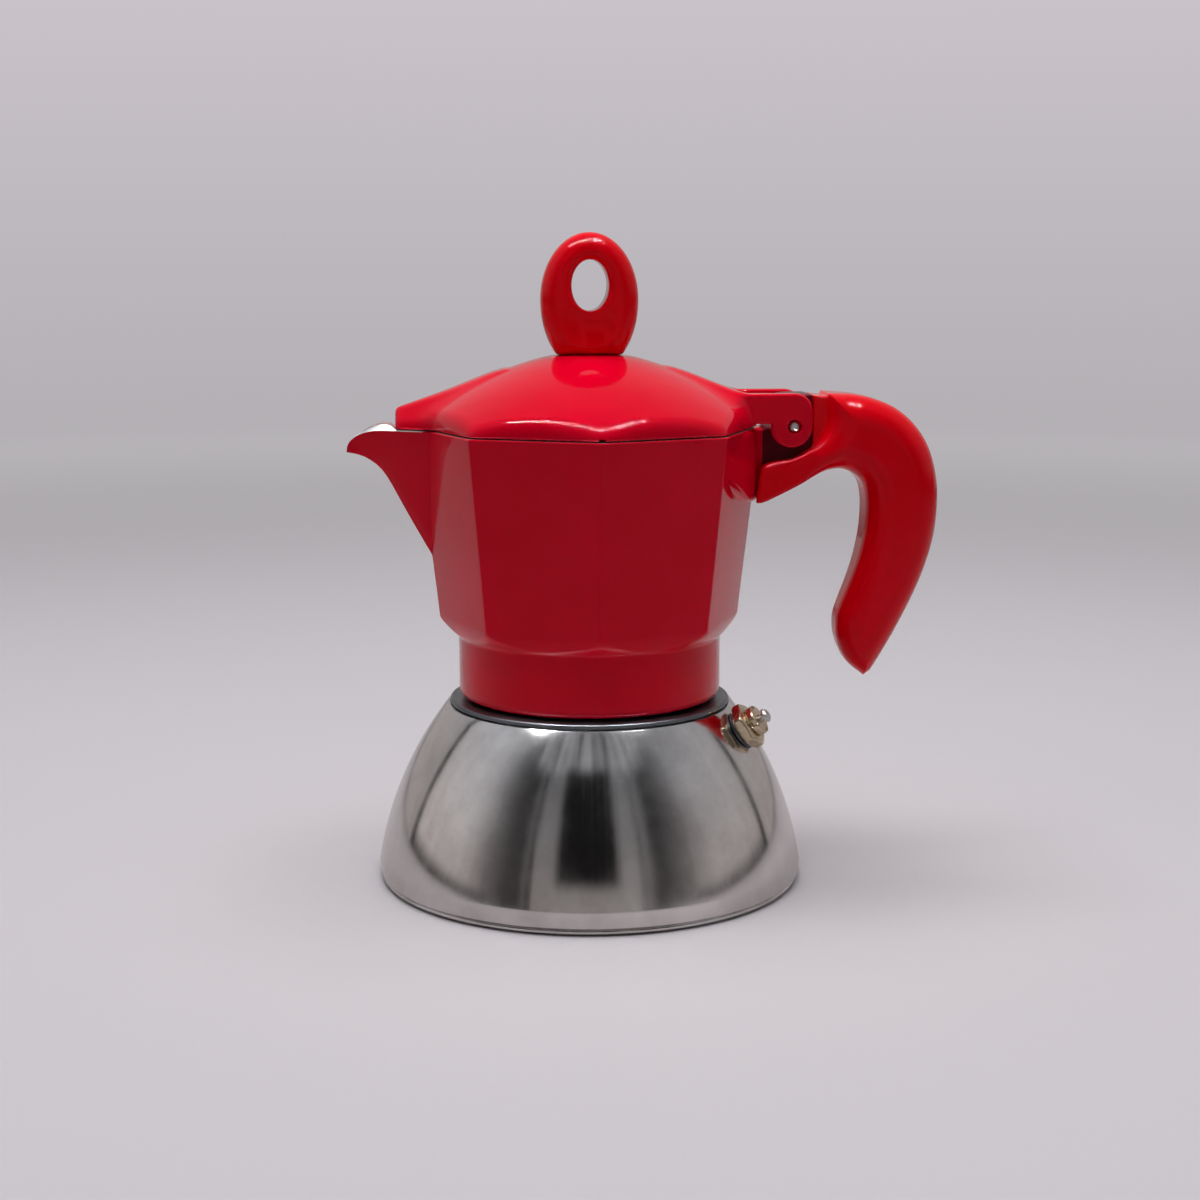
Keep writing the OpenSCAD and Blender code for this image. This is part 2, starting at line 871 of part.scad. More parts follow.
// Side outline of the handle: outside, tip, inside, root and the recess for the hinge
function handle_outside() = spline([
    [handle_cheek_x, handle_top_z + 0.2], [58.5, 108.2], [63.5, 107], [68, 104.9], [72.1, 101.3],
    [75.2, 96.4], [77, 90], [handle_reach, 83.5], [76.6, 75.6], [74.4, 67.8], [71.4, 60.6], [67.4, 52.6],
    [63.5, 45.8]
], 4);
function handle_inside() = spline([
    [61.9, 44.7], [58.1, 47.9], [55.9, 52.1], [55.2, 56.2], [55.7, 60], [58.1, 66.4], [59.9, 72],
    [61.1, 78.2], [61.3, 84.4], [60.2, 89], [56.8, 91.5], [52.8, 91.8], [48.9, 90.5], [44.2, 88],
    [38.4, 85.2], [36.3, 84.7]
], 4);
function handle_recess() = spline([
    [36.5, 87.9], [36.9, 91], [37.9, 93], [40, 93.9], [44.2, 94.6], [47.4, 96.2], [49.9, 97.9],
    [51.6, 100.3], [handle_cheek_x, 103]
], 4);

// Moulded handle with cheeks on both sides of the collector's knuckle and a web behind it
module handle() {
    pocket_end = 1.6;
    web = [[handle_slot_x, 93], [56, 98], [56, handle_top_z - 1], [handle_slot_x, handle_top_z - 0.2]];
    color(red_plastic)
        difference() {
            intersection() {
                union() {
                    side_extrude(-handle_w / 2, handle_w / 2)
                        polygon(concat(
                            handle_outside(), handle_inside(), [[35.8, 85.2]], handle_recess()
                        ));
                    side_extrude(-handle_slot_half_w, handle_slot_half_w)
                        polygon(web);
                }
                // Seen from behind, the handle narrows towards its tip
                rotate([90, 0, 90])
                    linear_extrude(height = 100)
                        polygon([
                            [-handle_tip_w / 2, handle_tip_z],
                            [handle_tip_w / 2, handle_tip_z],
                            [handle_w / 2, handle_narrow_z],
                            [handle_w / 2, lid_top_z],
                            [-handle_w / 2, lid_top_z],
                            [-handle_w / 2, handle_narrow_z]
                        ]);
            }
            // Slot for the knuckle's web
            side_extrude(-handle_slot_half_w, handle_slot_half_w)
                polygon(concat(
                    web_floor(2 * small_gap),
                    [[handle_slot_x, 91.4], [handle_slot_x, lid_top_z], [32, lid_top_z]]
                ));
            translate([0, 0, handle_tip_z])
                linear_extrude(height = lid_top_z - handle_tip_z)
                    pad_face_outline(2 * small_gap);
            side_extrude(-handle_w / 2 + pocket_end, handle_w)
                translate([handle_pin_x, handle_pin_z])
                    circle(r = handle_pin_r);
        }
}

// Pin that holds the handle on the knuckle, driven in from one side
module handle_pin() {
    blind_end = 1.7;
    sunk = 0.3;
    color(steel)
        side_extrude(-handle_w / 2 + blind_end, handle_w / 2 - sunk)
            translate([handle_pin_x, handle_pin_z])
                circle(r = handle_pin_r);
}

// Pin of the lid's hinge
module hinge_pin() {
    sunk = 0.3;
    color(steel)
        side_extrude(-ear_outer_y + sunk, ear_outer_y - sunk)
            translate([hinge_x, hinge_z])
                circle(r = hinge_pin_r);
}

// ---------- lid ----------

// Side outline of one hinge ear and its arm
module ear_outline() {
    arm_x = 31;
    arm_z = hinge_z + 0.6;
    corner_x = boss_x + ear_r - ear_corner_r;
    corner_z = ear_top_z - ear_corner_r;
    translate([corner_x, corner_z])
        circle(r = ear_corner_r);
    translate([boss_x, hinge_z])
        circle(r = ear_r);
    translate([boss_x - ear_r, hinge_z])
        square([2 * ear_r, corner_z - hinge_z]);
    translate([arm_x, arm_z])
        square([corner_x - arm_x, ear_top_z - arm_z]);
}

// Crown of the lid, d below its outer surface, down to z
module crown(d, z) {
    skirt_h = 4;
    crown_centre = arc_centre([lid_r, lid_corner_z], [lid_flat_r, lid_top_z], crown_curve_r);
    start = asin((lid_corner_z - skirt_h - crown_centre[1]) / (crown_curve_r - d));
    finish = asin((lid_top_z - crown_centre[1]) / crown_curve_r);
    rotate_extrude()
        polygon(concat(
            [[0, z]],
            [[crown_centre[0] + (crown_curve_r - d) * cos(start), z]],
            arc_points(crown_centre, crown_curve_r - d, start, finish, 14),
            [[0, crown_centre[1] + (crown_curve_r - d) * sin(finish)]]
        ));
}

// Part of the lid that covers the spout, d inside its outer surface
module lid_nose(d) {
    edge_half_w = 1.4;
    edge_h = 0.6;
    end_h = 1.2;
    side_h = 2.4;
    back_x = 20;
    back_half_w = 4;
    back_h = 12;
    hull() {
        translate([d - nose_x, d - nose_half_w, lid_z])
            cube([1, 2 * (nose_half_w - d), end_h]);
        translate([d - nose_x, -edge_half_w, nose_end_z - d - edge_h])
            cube([1, 2 * edge_half_w, edge_h]);
        translate([-spout_root_x, d - spout_half_w, lid_z])
            cube([1, 2 * (spout_half_w - d), side_h]);
        translate([-back_x, -back_half_w, lid_z])
            cube([1, 2 * back_half_w, back_h - d]);
    }
}

// Fairing from the crown to the hinge arms
module lid_fairing() {
    crest = [18, 4.5, 112];
    side = [26, 14, 103];
    foot_x = 32;
    foot_z = hinge_z + 0.8;
    hull() {
        translate([crest[0], -crest[1], crest[2]])
            cube([1, 2 * crest[1], 1.6]);
        translate([foot_x, -ear_outer_y, foot_z])
            cube([1.5, 2 * ear_outer_y, ear_top_z - foot_z]);
        translate([side[0], -side[1], side[2]])
            cube([1, 2 * side[1], 2]);
    }
}

// Octagonal lid: crown, skirt, spout cover and hinge arms
module lid() {
    hole_clear = 0.2;
    slot_x = 36.9;
    side_share = 1.3;
    color(red_paint)
        difference() {
            union() {
                intersection() {
                    crown(0, lid_z);
                    translate([0, 0, lid_z])
                        linear_extrude(height = lid_top_z)
                            polygon(octagon(lid_r));
                }
                lid_nose(0);
                lid_fairing();
                for (s = [-1, 1])
                    side_extrude(
                        min(s * ear_inner_y, s * ear_outer_y),
                        max(s * ear_inner_y, s * ear_outer_y)
                    )
                        ear_outline();
            }
            // Hollow underside
            intersection() {
                crown(lid_t, lid_z - lid_t);
                translate([0, 0, lid_z - lid_t])
                    linear_extrude(height = lid_top_z)
                        polygon(octagon(lid_r - lid_t * side_share));
            }
            translate([0, 0, -eps])
                lid_nose(lid_t);
            // Clear of the knuckle
            translate([slot_x, -ear_inner_y, lid_z - 1])
                cube([20, 2 * ear_inner_y, 20]);
            // Hole for the knob's screw and bores of the hinge
            translate([0, 0, rim_z])
                cylinder(r = screw_r + hole_clear, h = lid_top_z - rim_z + lid_t);
            side_extrude(-handle_w, handle_w)
                translate([hinge_x, hinge_z])
                    circle(r = hinge_pin_r + running_clearance);
        }
}

// ---------- knob ----------

// Side outline of the knob: egg-shaped, cut flat where it stands on the lid
module knob_outline() {
    steps = 7;
    step = knob_foot_angle / steps;
    c = [0, knob_wide_z];
    polygon(concat(
        ellipse_arc(c, knob_r, knob_upper_h, 0, 180, 24),
        ellipse_arc(c, knob_r, knob_lower_h, 180 + step, 180 + knob_foot_angle, steps - 1),
        ellipse_arc(c, knob_r, knob_lower_h, -knob_foot_angle, -step, steps - 1)
    ));
}

// Moulded knob with a finger hole
module knob() {
    hole_steps = 48;
    last_angle = 360 * (hole_steps - 1) / hole_steps;
    screw_end_gap = 0.4;
    color(red_plastic)
        difference() {
            side_extrude(-knob_t / 2, knob_t / 2)
                difference() {
                    knob_outline();
                    polygon(ellipse_arc(
                        [0, knob_hole_z], knob_hole_w / 2, knob_hole_h / 2, 0, last_angle, hole_steps - 1
                    ));
                }
            translate([0, 0, lid_top_z - eps])
                cylinder(r = screw_r, h = screw_top_z - lid_top_z + screw_end_gap);
        }
}

// Screw that holds the knob from inside the lid
module knob_screw() {
    head_t = 1.8;
    head_z = lid_top_z - lid_t - washer_t - head_t;
    slot = [4, 0.8, 0.9];
    color(steel)
        difference() {
            union() {
                translate([0, 0, head_z])
                    cylinder(r = screw_head_r, h = head_t);
                translate([0, 0, head_z])
                    cylinder(r = screw_r, h = screw_top_z - head_z);
            }
            for (a = [0, 90])
                rotate([0, 0, a])
                    translate([-slot[0] / 2, -slot[1] / 2, head_z - eps])
                        cube(slot);
        }
}

// Washer under the knob's screw
module knob_washer() {
    color(steel)
        translate([0, 0, lid_top_z - lid_t - washer_t])
            difference() {
                cylinder(r = washer_r, h = washer_t);
                translate([0, 0, -eps])
                    cylinder(r = screw_r + 0.1, h = washer_t + 2 * eps);
            }
}

base_disc();
boiler_shell();
boiler_liner();
boiler_neck();
valve_washer();
valve_body();
valve_cap();
valve_spring();
valve_pin();
valve_seal();
funnel_basket();
funnel_stem();
funnel_strainer();
filter_plate();
gasket();
collector();
column();
handle();
handle_pin();
hinge_pin();
lid();
knob();
knob_screw();
knob_washer();
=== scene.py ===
"""Moka pot. Lengths are in millimetres until a mesh is made, and then in metres."""

import math

import bmesh
import bpy
import numpy as np
from mathutils import Matrix, Vector


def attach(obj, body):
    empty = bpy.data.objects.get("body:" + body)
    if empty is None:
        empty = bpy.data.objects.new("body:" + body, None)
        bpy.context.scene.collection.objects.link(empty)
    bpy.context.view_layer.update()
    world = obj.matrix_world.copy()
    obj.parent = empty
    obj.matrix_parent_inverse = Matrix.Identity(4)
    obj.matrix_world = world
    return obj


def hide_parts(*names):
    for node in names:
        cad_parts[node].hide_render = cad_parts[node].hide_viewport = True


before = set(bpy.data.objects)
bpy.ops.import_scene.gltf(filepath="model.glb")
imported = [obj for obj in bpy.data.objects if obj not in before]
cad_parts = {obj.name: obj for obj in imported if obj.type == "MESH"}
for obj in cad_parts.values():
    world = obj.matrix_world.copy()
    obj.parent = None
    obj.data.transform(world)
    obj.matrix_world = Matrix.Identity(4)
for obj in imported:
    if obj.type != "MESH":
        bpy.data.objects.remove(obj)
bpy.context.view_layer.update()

MM = 0.001
COS_HALF = math.cos(math.radians(22.5))
TAN_HALF = math.tan(math.radians(22.5))

# ---------------- camera

camera_data = bpy.data.cameras.new("camera")
camera_data.sensor_width = 36.0
camera_data.lens = 62.11
camera = bpy.data.objects.new("camera", camera_data)
camera.location = (-0.03246, -0.45478, 0.14053)
camera.rotation_euler = (math.radians(80.28), 0.0, math.radians(-4.38))
bpy.context.scene.collection.objects.link(camera)
bpy.context.scene.camera = camera

# ---------------- materials


class Nodes:
    """Short calls that add nodes to a tree."""

    def __init__(self, tree):
        self.nodes = tree.nodes
        self.links = tree.links

    def node(self, kind, inputs=None, **settings):
        node = self.nodes.new("ShaderNode" + kind)
        for key, value in settings.items():
            setattr(node, key, value)
        for key, value in (inputs or {}).items():
            if isinstance(value, bpy.types.NodeSocket):
                self.links.new(value, node.inputs[key])
            else:
                node.inputs[key].default_value = value
        return node

    def math(self, operation, a, b=0.0):
        return self.node("Math", {0: a, 1: b}, operation=operation).outputs[0]

    def product(self, *values):
        made = values[0]
        for value in values[1:]:
            made = self.math("MULTIPLY", made, value)
        return made

    def step(self, value, edge, soft):
        """From 0 below the edge to 1 above it, over a soft width."""
        inputs = {"Value": value, "From Min": edge - soft, "From Max": edge + soft}
        return self.node("MapRange", inputs, interpolation_type="SMOOTHSTEP").outputs[0]

    def band(self, value, low, high, soft_low, soft_high=None):
        """1 between low and high, with soft edges."""
        rise = self.step(value, low, soft_low)
        fall = self.step(value, high, soft_low if soft_high is None else soft_high)
        return self.product(rise, self.math("SUBTRACT", 1.0, fall))

    def noise(self, scale, detail=3.0, roughness=0.5, vector=None):
        inputs = {
            "Vector": vector or self.place,
            "Scale": scale,
            "Detail": detail,
            "Roughness": roughness,
        }
        return self.node("TexNoise", inputs).outputs["Fac"]

    def span(self, value, low, high, to_low, to_high):
        inputs = {"Value": value, "From Min": low, "From Max": high, "To Min": to_low, "To Max": to_high}
        return self.node("MapRange", inputs).outputs[0]

    def blend(self, factor, a, b):
        inputs = {"Factor": factor, "A": a, "B": b}
        node = self.node("Mix", data_type="RGBA")
        sockets = {s.name: s for s in node.inputs if s.type == "RGBA"}
        sockets["Factor"] = node.inputs[0]
        for key, value in inputs.items():
            if isinstance(value, bpy.types.NodeSocket):
                self.links.new(value, sockets[key])
            else:
                sockets[key].default_value = value
        return node.outputs[2]


class Surface(Nodes):
    """A material with one Principled shader."""

    def __init__(self, name, **values):
        self.material = bpy.data.materials.new(name)
        self.material.use_nodes = True
        super().__init__(self.material.node_tree)
        self.shader = self.nodes["Principled BSDF"]
        for socket, value in values.items():
            self.shader.inputs[socket.replace("_", " ")].default_value = value
        self.place = self.nodes.new("ShaderNodeTexCoord").outputs["Object"]

    def wire(self, socket, value):
        self.links.new(value, self.shader.inputs[socket])

    def bump(self, *layers):
        """Layers of (height, distance in metres), laid over each other."""
        normal = None
        for height, distance in layers:
            inputs = {"Height": height, "Distance": distance, "Strength": 1.0}
            if normal is not None:
                inputs["Normal"] = normal
            normal = self.node("Bump", inputs).outputs["Normal"]
        self.wire("Normal", normal)

    def round_axis(self, turns, climb, origin=(0.0, 0.0)):
        """Coordinates that run round the Z axis and up it, for marks left by spinning."""
        part = self.node("SeparateXYZ", {0: self.place})
        x = self.math("SUBTRACT", part.outputs[0], origin[0])
        y = self.math("SUBTRACT", part.outputs[1], origin[1])
        angle = self.math("ARCTAN2", y, x)
        squares = self.math("ADD", self.math("MULTIPLY", x, x), self.math("MULTIPLY", y, y))
        radius = self.math("SQRT", squares)
        inputs = {
            0: self.math("MULTIPLY", self.math("COSINE", angle), turns),
            1: self.math("MULTIPLY", self.math("SINE", angle), turns),
            2: self.math("MULTIPLY", self.math("ADD", part.outputs[2], radius), climb),
        }
        return self.node("CombineXYZ", inputs).outputs[0]


def red_coat(name, light, dark, roughness, peel):
    """Glossy red finish: soft colour variation, fine ripple and faint wipe marks.
    The pigment mirrors red, under a thin clear coat that mirrors small lamps white."""
    s = Surface(
        name,
        Specular_IOR_Level=0.25,
        Specular_Tint=(1.0, 0.06, 0.12, 1),
        Coat_Weight=0.18,
        Coat_Roughness=0.03,
    )
    cloud = s.noise(55.0, 4.0)
    s.wire("Base Color", s.blend(s.span(cloud, 0.3, 0.7, 0.0, 1.0), dark, light))
    smudge = s.noise(140.0, 6.0, 0.62)
    s.wire("Roughness", s.span(smudge, 0.35, 0.75, roughness, roughness + 0.06))
    s.bump((s.noise(420.0, 2.0), peel), (s.noise(1500.0, 2.0), peel * 0.25))
    return s.material


def polished_steel(name):
    """Mirror-polished steel with fine strokes up the bell and soft smudges."""
    s = Surface(name, Metallic=1.0)
    strokes = s.noise(1.0, 4.0, 0.6, s.round_axis(130.0, 9.0))
    smudge = s.noise(60.0, 5.0, 0.6)
    dull, bright = (0.54, 0.51, 0.505, 1), (0.76, 0.745, 0.74, 1)
    s.wire("Base Color", s.blend(s.span(smudge, 0.32, 0.68, 0.0, 1.0), dull, bright))
    wear = s.math("ADD", s.span(smudge, 0.35, 0.7, 0.07, 0.15), s.span(strokes, 0.4, 0.8, 0.0, 0.04))
    s.wire("Roughness", wear)
    s.bump((strokes, 0.000004), (s.noise(26.0, 2.0), 0.00007))
    return s.material


def turned_metal(name, light, dark, roughness, ring=1400.0, depth=0.000008, origin=(0.0, 0.0)):
    """Machined metal with fine rings round the axis."""
    s = Surface(name, Metallic=1.0)
    rings = s.noise(1.0, 3.0, 0.7, s.round_axis(4.0, ring, origin))
    stain = s.noise(90.0, 5.0, 0.6)
    s.wire("Base Color", s.blend(s.span(stain, 0.3, 0.7, 0.0, 1.0), dark, light))
    wear = s.span(stain, 0.3, 0.8, roughness, roughness + 0.1)
    s.wire("Roughness", s.math("ADD", s.span(rings, 0.3, 0.7, 0.0, 0.12), wear))
    s.bump((rings, depth))
    return s.material


def cast_metal(name, light, dark, roughness, metallic=1.0, grit=1.0):
    """Bare cast or plated metal with fine grain and darker spots."""
    s = Surface(name, Metallic=metallic)
    grain = s.noise(900.0, 5.0, 0.65)
    stain = s.noise(160.0, 4.0)
    s.wire("Base Color", s.blend(s.span(stain, 0.3, 0.7, 0.0, 1.0), dark, light))
    s.wire("Roughness", s.span(grain, 0.3, 0.7, roughness, roughness + 0.16))
    s.bump((grain, 0.00003 * grit), (stain, 0.00006 * grit))
    return s.material


def rubber(name):
    """Pale matt rubber with fine specks."""
    s = Surface(name, Specular_IOR_Level=0.35)
    speck = s.noise(700.0, 4.0, 0.6)
    s.wire("Base Color", s.blend(s.noise(120.0), (0.62, 0.6, 0.55, 1), (0.75, 0.73, 0.69, 1)))
    s.wire("Roughness", s.span(speck, 0.3, 0.7, 0.5, 0.7))
    s.bump((speck, 0.00002))
    return s.material


ENAMEL = red_coat("red_enamel_coat", (0.78, 0.0, 0.022, 1), (0.70, 0.0, 0.015, 1), 0.03, 0.00002)
# Darker copy of the red enamel: painted shade for the knuckle's faces hidden from the light
ENAMEL_PAINTED_SHADE = red_coat("red_enamel_painted_shade", (0.10, 0.0, 0.008, 1), (0.07, 0.0, 0.006, 1), 0.3, 0.00002)
PLASTIC = red_coat("red_moulded_plastic", (0.85, 0.0, 0.010, 1), (0.76, 0.0, 0.006, 1), 0.05, 0.000008)
STEEL = polished_steel("polished_steel_bell")
ALUMINIUM = turned_metal("turned_aluminium_bright", (0.78, 0.78, 0.77, 1), (0.62, 0.62, 0.61, 1), 0.2)
CAST = cast_metal("cast_aluminium_bare", (0.74, 0.74, 0.73, 1), (0.58, 0.58, 0.57, 1), 0.28)
GROUND = cast_metal("ground_aluminium_edge", (0.56, 0.545, 0.55, 1), (0.42, 0.41, 0.415, 1), 0.45, 0.75)
# Near-black turned metal: painted shade for the dark ring under the jug's neck and under the valve's
# hexagon
DARK_METAL_PAINTED_SHADE = turned_metal("turned_aluminium_painted_shade", (0.17, 0.18, 0.2, 1), (0.1, 0.11, 0.125, 1), 0.22)
BRASS = cast_metal("nickel_brass_plated", (0.74, 0.62, 0.45, 1), (0.52, 0.42, 0.29, 1), 0.14, grit=0.2)
PIN = turned_metal("steel_pins", (0.7, 0.69, 0.68, 1), (0.5, 0.49, 0.48, 1), 0.2)
RUBBER = rubber("seal_rubber_pale")

# ---------------- mesh helpers


def make_piece(name, points, faces, materials, slots=None, smooth=True, normals=None):
    """Mesh object from points in millimetres."""
    mesh = bpy.data.meshes.new(name)
    mesh.from_pydata((np.asarray(points, float) * MM).tolist(), [], faces)
    for material in materials:
        mesh.materials.append(material)
    if slots is not None:
        mesh.polygons.foreach_set("material_index", slots)
    mesh.polygons.foreach_set("use_smooth", [smooth] * len(mesh.polygons))
    mesh.validate()
    if normals is not None:
        mesh.normals_split_custom_set_from_vertices(normals)
    obj = bpy.data.objects.new(name, mesh)
    bpy.context.scene.collection.objects.link(obj)
    return obj


def sharpen(obj, degrees=32.0):
    """Edges steeper than this shade as edges."""
    mesh = bmesh.new()
    mesh.from_mesh(obj.data)
    bmesh.ops.recalc_face_normals(mesh, faces=mesh.faces)
    for edge in mesh.edges:
        edge.smooth = len(edge.link_faces) == 2 and edge.calc_face_angle(0.0) < math.radians(degrees)
    mesh.to_mesh(obj.data)
    mesh.free()
    return obj


def rounded(outline, radius, steps=4):
    """Closed outline of (r, z) corners with each corner rounded, as far as its sides allow."""
    made = []
    count = len(outline)
    for i in range(count):
        a, b, c = (np.array(outline[(i + k) % count], float) for k in (-1, 0, 1))
        u, v = a - b, c - b
        lu, lv = np.linalg.norm(u), np.linalg.norm(v)
        u, v = u / lu, v / lv
        angle = math.acos(max(-1.0, min(1.0, float(u @ v))))
        if angle > math.radians(165) or min(abs(b[0]), radius) < 1e-6:
            made.append(tuple(b))
            continue
        reach = min(radius / math.tan(angle / 2), lu * 0.45, lv * 0.45)
        for k in range(steps + 1):
            t = k / steps
            start, end = b + u * reach, b + v * reach
            made.append(tuple((1 - t) ** 2 * start + 2 * t * (1 - t) * b + t * t * end))
    return made


def lathe(name, outline, materials, segments=144, place=None, slot_of=None):
    """Closed outline of (r, z) turned round the Z axis, then put in place by a matrix."""
    points, faces, slots = [], [], []
    count = len(outline)
    ends = [i for i, p in enumerate(outline) if abs(p[0]) < 1e-6]
    for s in range(segments):
        a = 2 * math.pi * s / segments
        points += [(p[0] * math.cos(a), p[0] * math.sin(a), p[1]) for p in outline]
    for s in range(segments):
        base, after = s * count, (s + 1) % segments * count
        for i in range(count):
            j = (i + 1) % count
            if i in ends and j in ends:
                continue
            faces.append([base + i, after + i, after + j, base + j])
            slots.append(slot_of(outline[i], outline[j]) if slot_of else 0)
    points = np.array(points)
    if place is not None:
        points = points @ np.array(place)[:3, :3].T + np.array(place)[:3, 3]
    obj = make_piece(name, points, faces, materials, slots)
    weld(obj)
    return sharpen(obj)


def weld(obj, distance=0.0008):
    """Joins points that lie within this distance of each other."""
    mesh = bmesh.new()
    mesh.from_mesh(obj.data)
    bmesh.ops.remove_doubles(mesh, verts=mesh.verts, dist=distance * MM)
    bmesh.ops.dissolve_degenerate(mesh, edges=mesh.edges, dist=distance * MM)
    mesh.to_mesh(obj.data)
    mesh.free()


def smooth_curve(points, steps):
    """Catmull-Rom curve through the points."""
    p = [np.array(q, float) for q in points]
    made = []
    for i in range(len(p) - 1):
        a, b, c, d = p[max(i - 1, 0)], p[i], p[i + 1], p[min(i + 2, len(p) - 1)]
        for k in range(steps):
            t = k / steps
            square, cube = 2 * a - 5 * b + 4 * c - d, 3 * b - a - 3 * c + d
            made.append(0.5 * (2 * b + (c - a) * t + square * t**2 + cube * t**3))
    return made + [p[-1]]


# ---------------- solids from distances
# A field gives, for points in millimetres, the distance to a surface, negative inside.

EDGES = [(a, b) for a in range(8) for b in range(a + 1, 8) if bin(a ^ b).count("1") == 1]
CORNERS = np.array([[(c >> k) & 1 for k in range(3)] for c in range(8)])


def gradient(field, p, step=0.02):
    """Slope of the field at each point."""
    made = []
    for axis in range(3):
        offset = np.zeros(3)
        offset[axis] = step
        made.append((field(p + offset) - field(p - offset)) / (2 * step))
    return np.stack(made, axis=1)


def sample(field, low, size, pitch, block=4):
    """The field on a grid, worked out in full only near the surface."""
    coarse = [np.arange(0, n + block, block) for n in size]
    grid = np.stack(np.meshgrid(*coarse, indexing="ij"), axis=-1).reshape(-1, 3)
    rough = field(low + grid * pitch)
    values = np.full([len(c) * block for c in coarse], 1.0, np.float32)
    shape = [len(c) for c in coarse]
    values[:] = np.kron(np.sign(rough.reshape(shape)), np.ones([block] * 3))
    near = np.abs(rough) < pitch * block * 2.6
    inner = np.stack(np.meshgrid(*[np.arange(block)] * 3, indexing="ij"), axis=-1).reshape(-1, 3)
    cells = (grid[near][:, None, :] + inner[None]).reshape(-1, 3)
    values[cells[:, 0], cells[:, 1], cells[:, 2]] = field(low + cells * pitch)
    return values


def skin(name, field, low, high, pitch, materials, slot_of=None, place=None):
    """Mesh of the field's surface. Every vertex is moved onto the surface, and shades with its slope."""
    low = np.array(low, float) - 2 * pitch
    size = np.ceil((np.array(high, float) + 2 * pitch - low) / pitch).astype(int)
    values = sample(field, low, size, pitch)
    inside = values < 0
    cut = np.zeros([n - 1 for n in values.shape], np.int8)
    for c in CORNERS:
        cut += inside[tuple(slice(c[k], values.shape[k] - 1 + c[k]) for k in range(3))]
    cells = np.argwhere((cut > 0) & (cut < 8))
    number = np.full(cut.shape, -1, np.int64)
    number[tuple(cells.T)] = np.arange(len(cells))
    at = [values[tuple((cells + c).T)] for c in CORNERS]
    total, found = np.zeros((len(cells), 3)), np.zeros(len(cells))
    for a, b in EDGES:
        crossed = (at[a] < 0) != (at[b] < 0)
        share = np.where(crossed, at[a] / np.where(crossed, at[a] - at[b], 1.0), 0.0)[:, None]
        total += np.where(crossed[:, None], CORNERS[a] + share * (CORNERS[b] - CORNERS[a]), 0.0)
        found += crossed
    p = low + (cells + total / found[:, None]) * pitch
    for _ in range(3):
        slope = gradient(field, p)
        length = np.maximum((slope**2).sum(axis=1), 0.2)
        step = (field(p) / length)[:, None] * slope
        p = p - np.clip(step, -0.5 * pitch, 0.5 * pitch)
    normals = gradient(field, p)
    normals /= np.maximum(np.linalg.norm(normals, axis=1), 1e-6)[:, None]
    faces = []
    for axis in range(3):
        u, v = (axis + 1) % 3, (axis + 2) % 3
        whole = [slice(1, n - 1) for n in values.shape]
        first, second = list(whole), list(whole)
        first[axis], second[axis] = slice(0, values.shape[axis] - 1), slice(1, values.shape[axis])
        a, b = inside[tuple(first)], inside[tuple(second)]
        spots = np.argwhere(a != b)
        start = np.ones(3, int)
        start[axis] = 0
        spots += start
        flip = inside[tuple(spots.T)]
        quad = []
        for du, dv in ((-1, -1), (0, -1), (0, 0), (-1, 0)):
            q = spots.copy()
            q[:, u] += du
            q[:, v] += dv
            quad.append(number[tuple(q.T)])
        quad = np.stack(quad, axis=1)
        quad[~flip] = quad[~flip][:, ::-1]
        faces.append(quad[(quad >= 0).all(axis=1)])
    faces = np.concatenate(faces)
    slots = None
    if slot_of is not None:
        slots = slot_of(p[faces].mean(axis=1)).astype(int).tolist()
    if place is not None:
        matrix = np.array(place)
        p = p @ matrix[:3, :3].T + matrix[:3, 3]
        normals = normals @ matrix[:3, :3].T
    return make_piece(name, p, faces.tolist(), materials, slots, True, normals)


def smin(a, b, k):
    """Both solids together, blended over a width k."""
    h = np.maximum(k - np.abs(a - b), 0.0) / k
    return np.minimum(a, b) - h * h * k * 0.25


def smax(a, b, k):
    """Where both solids are, blended over a width k."""
    return -smin(-a, -b, k)


def rounded_both(a, b, radius):
    """Where both fields meet, their edge is rounded to this radius."""
    a, b = a + radius, b + radius
    return np.hypot(np.maximum(a, 0.0), np.maximum(b, 0.0)) + np.minimum(np.maximum(a, b), 0.0) - radius


def outline_distance(x, z, outline):
    """Signed distance to a closed outline in a plane."""
    o = np.array(outline, float)
    best = np.full(x.shape, 1e9)
    inside = np.zeros(x.shape, bool)
    for (ax, az), (bx, bz) in zip(o, np.roll(o, -1, axis=0)):
        ex, ez = bx - ax, bz - az
        wx, wz = x - ax, z - az
        t = np.clip((wx * ex + wz * ez) / max(ex * ex + ez * ez, 1e-12), 0.0, 1.0)
        best = np.minimum(best, (wx - ex * t) ** 2 + (wz - ez * t) ** 2)
        spans = (az <= z) != (bz <= z)
        if az != bz:
            inside ^= spans & (x < ax + (z - az) / (bz - az) * ex)
    return np.where(inside, -1.0, 1.0) * np.sqrt(best)


def hull_planes(points):
    """(normals, offsets) of the planes round the hull of the points."""
    mesh = bmesh.new()
    for p in points:
        mesh.verts.new(p)
    bmesh.ops.convex_hull(mesh, input=mesh.verts)
    bmesh.ops.recalc_face_normals(mesh, faces=mesh.faces)
    planes = {}
    for face in mesh.faces:
        n = face.normal
        offset = n.dot(face.verts[0].co)
        planes[tuple(round(c, 3) for c in (*n, offset))] = (tuple(n), offset)
    mesh.free()
    return np.array([n for n, d in planes.values()]), np.array([d for n, d in planes.values()])


def hull_distance(p, planes, k=0.6):
    """Distance to the hull inside these planes, its edges softened by k."""
    made = None
    for n, d in zip(*planes):
        side = p @ n - d
        made = side if made is None else smax(made, side, k)
    return made


def box_points(x0, x1, y0, y1, z0, z1):
    """The eight corners of a box."""
    return [(x, y, z) for x in (x0, x1) for y in (y0, y1) for z in (z0, z1)]


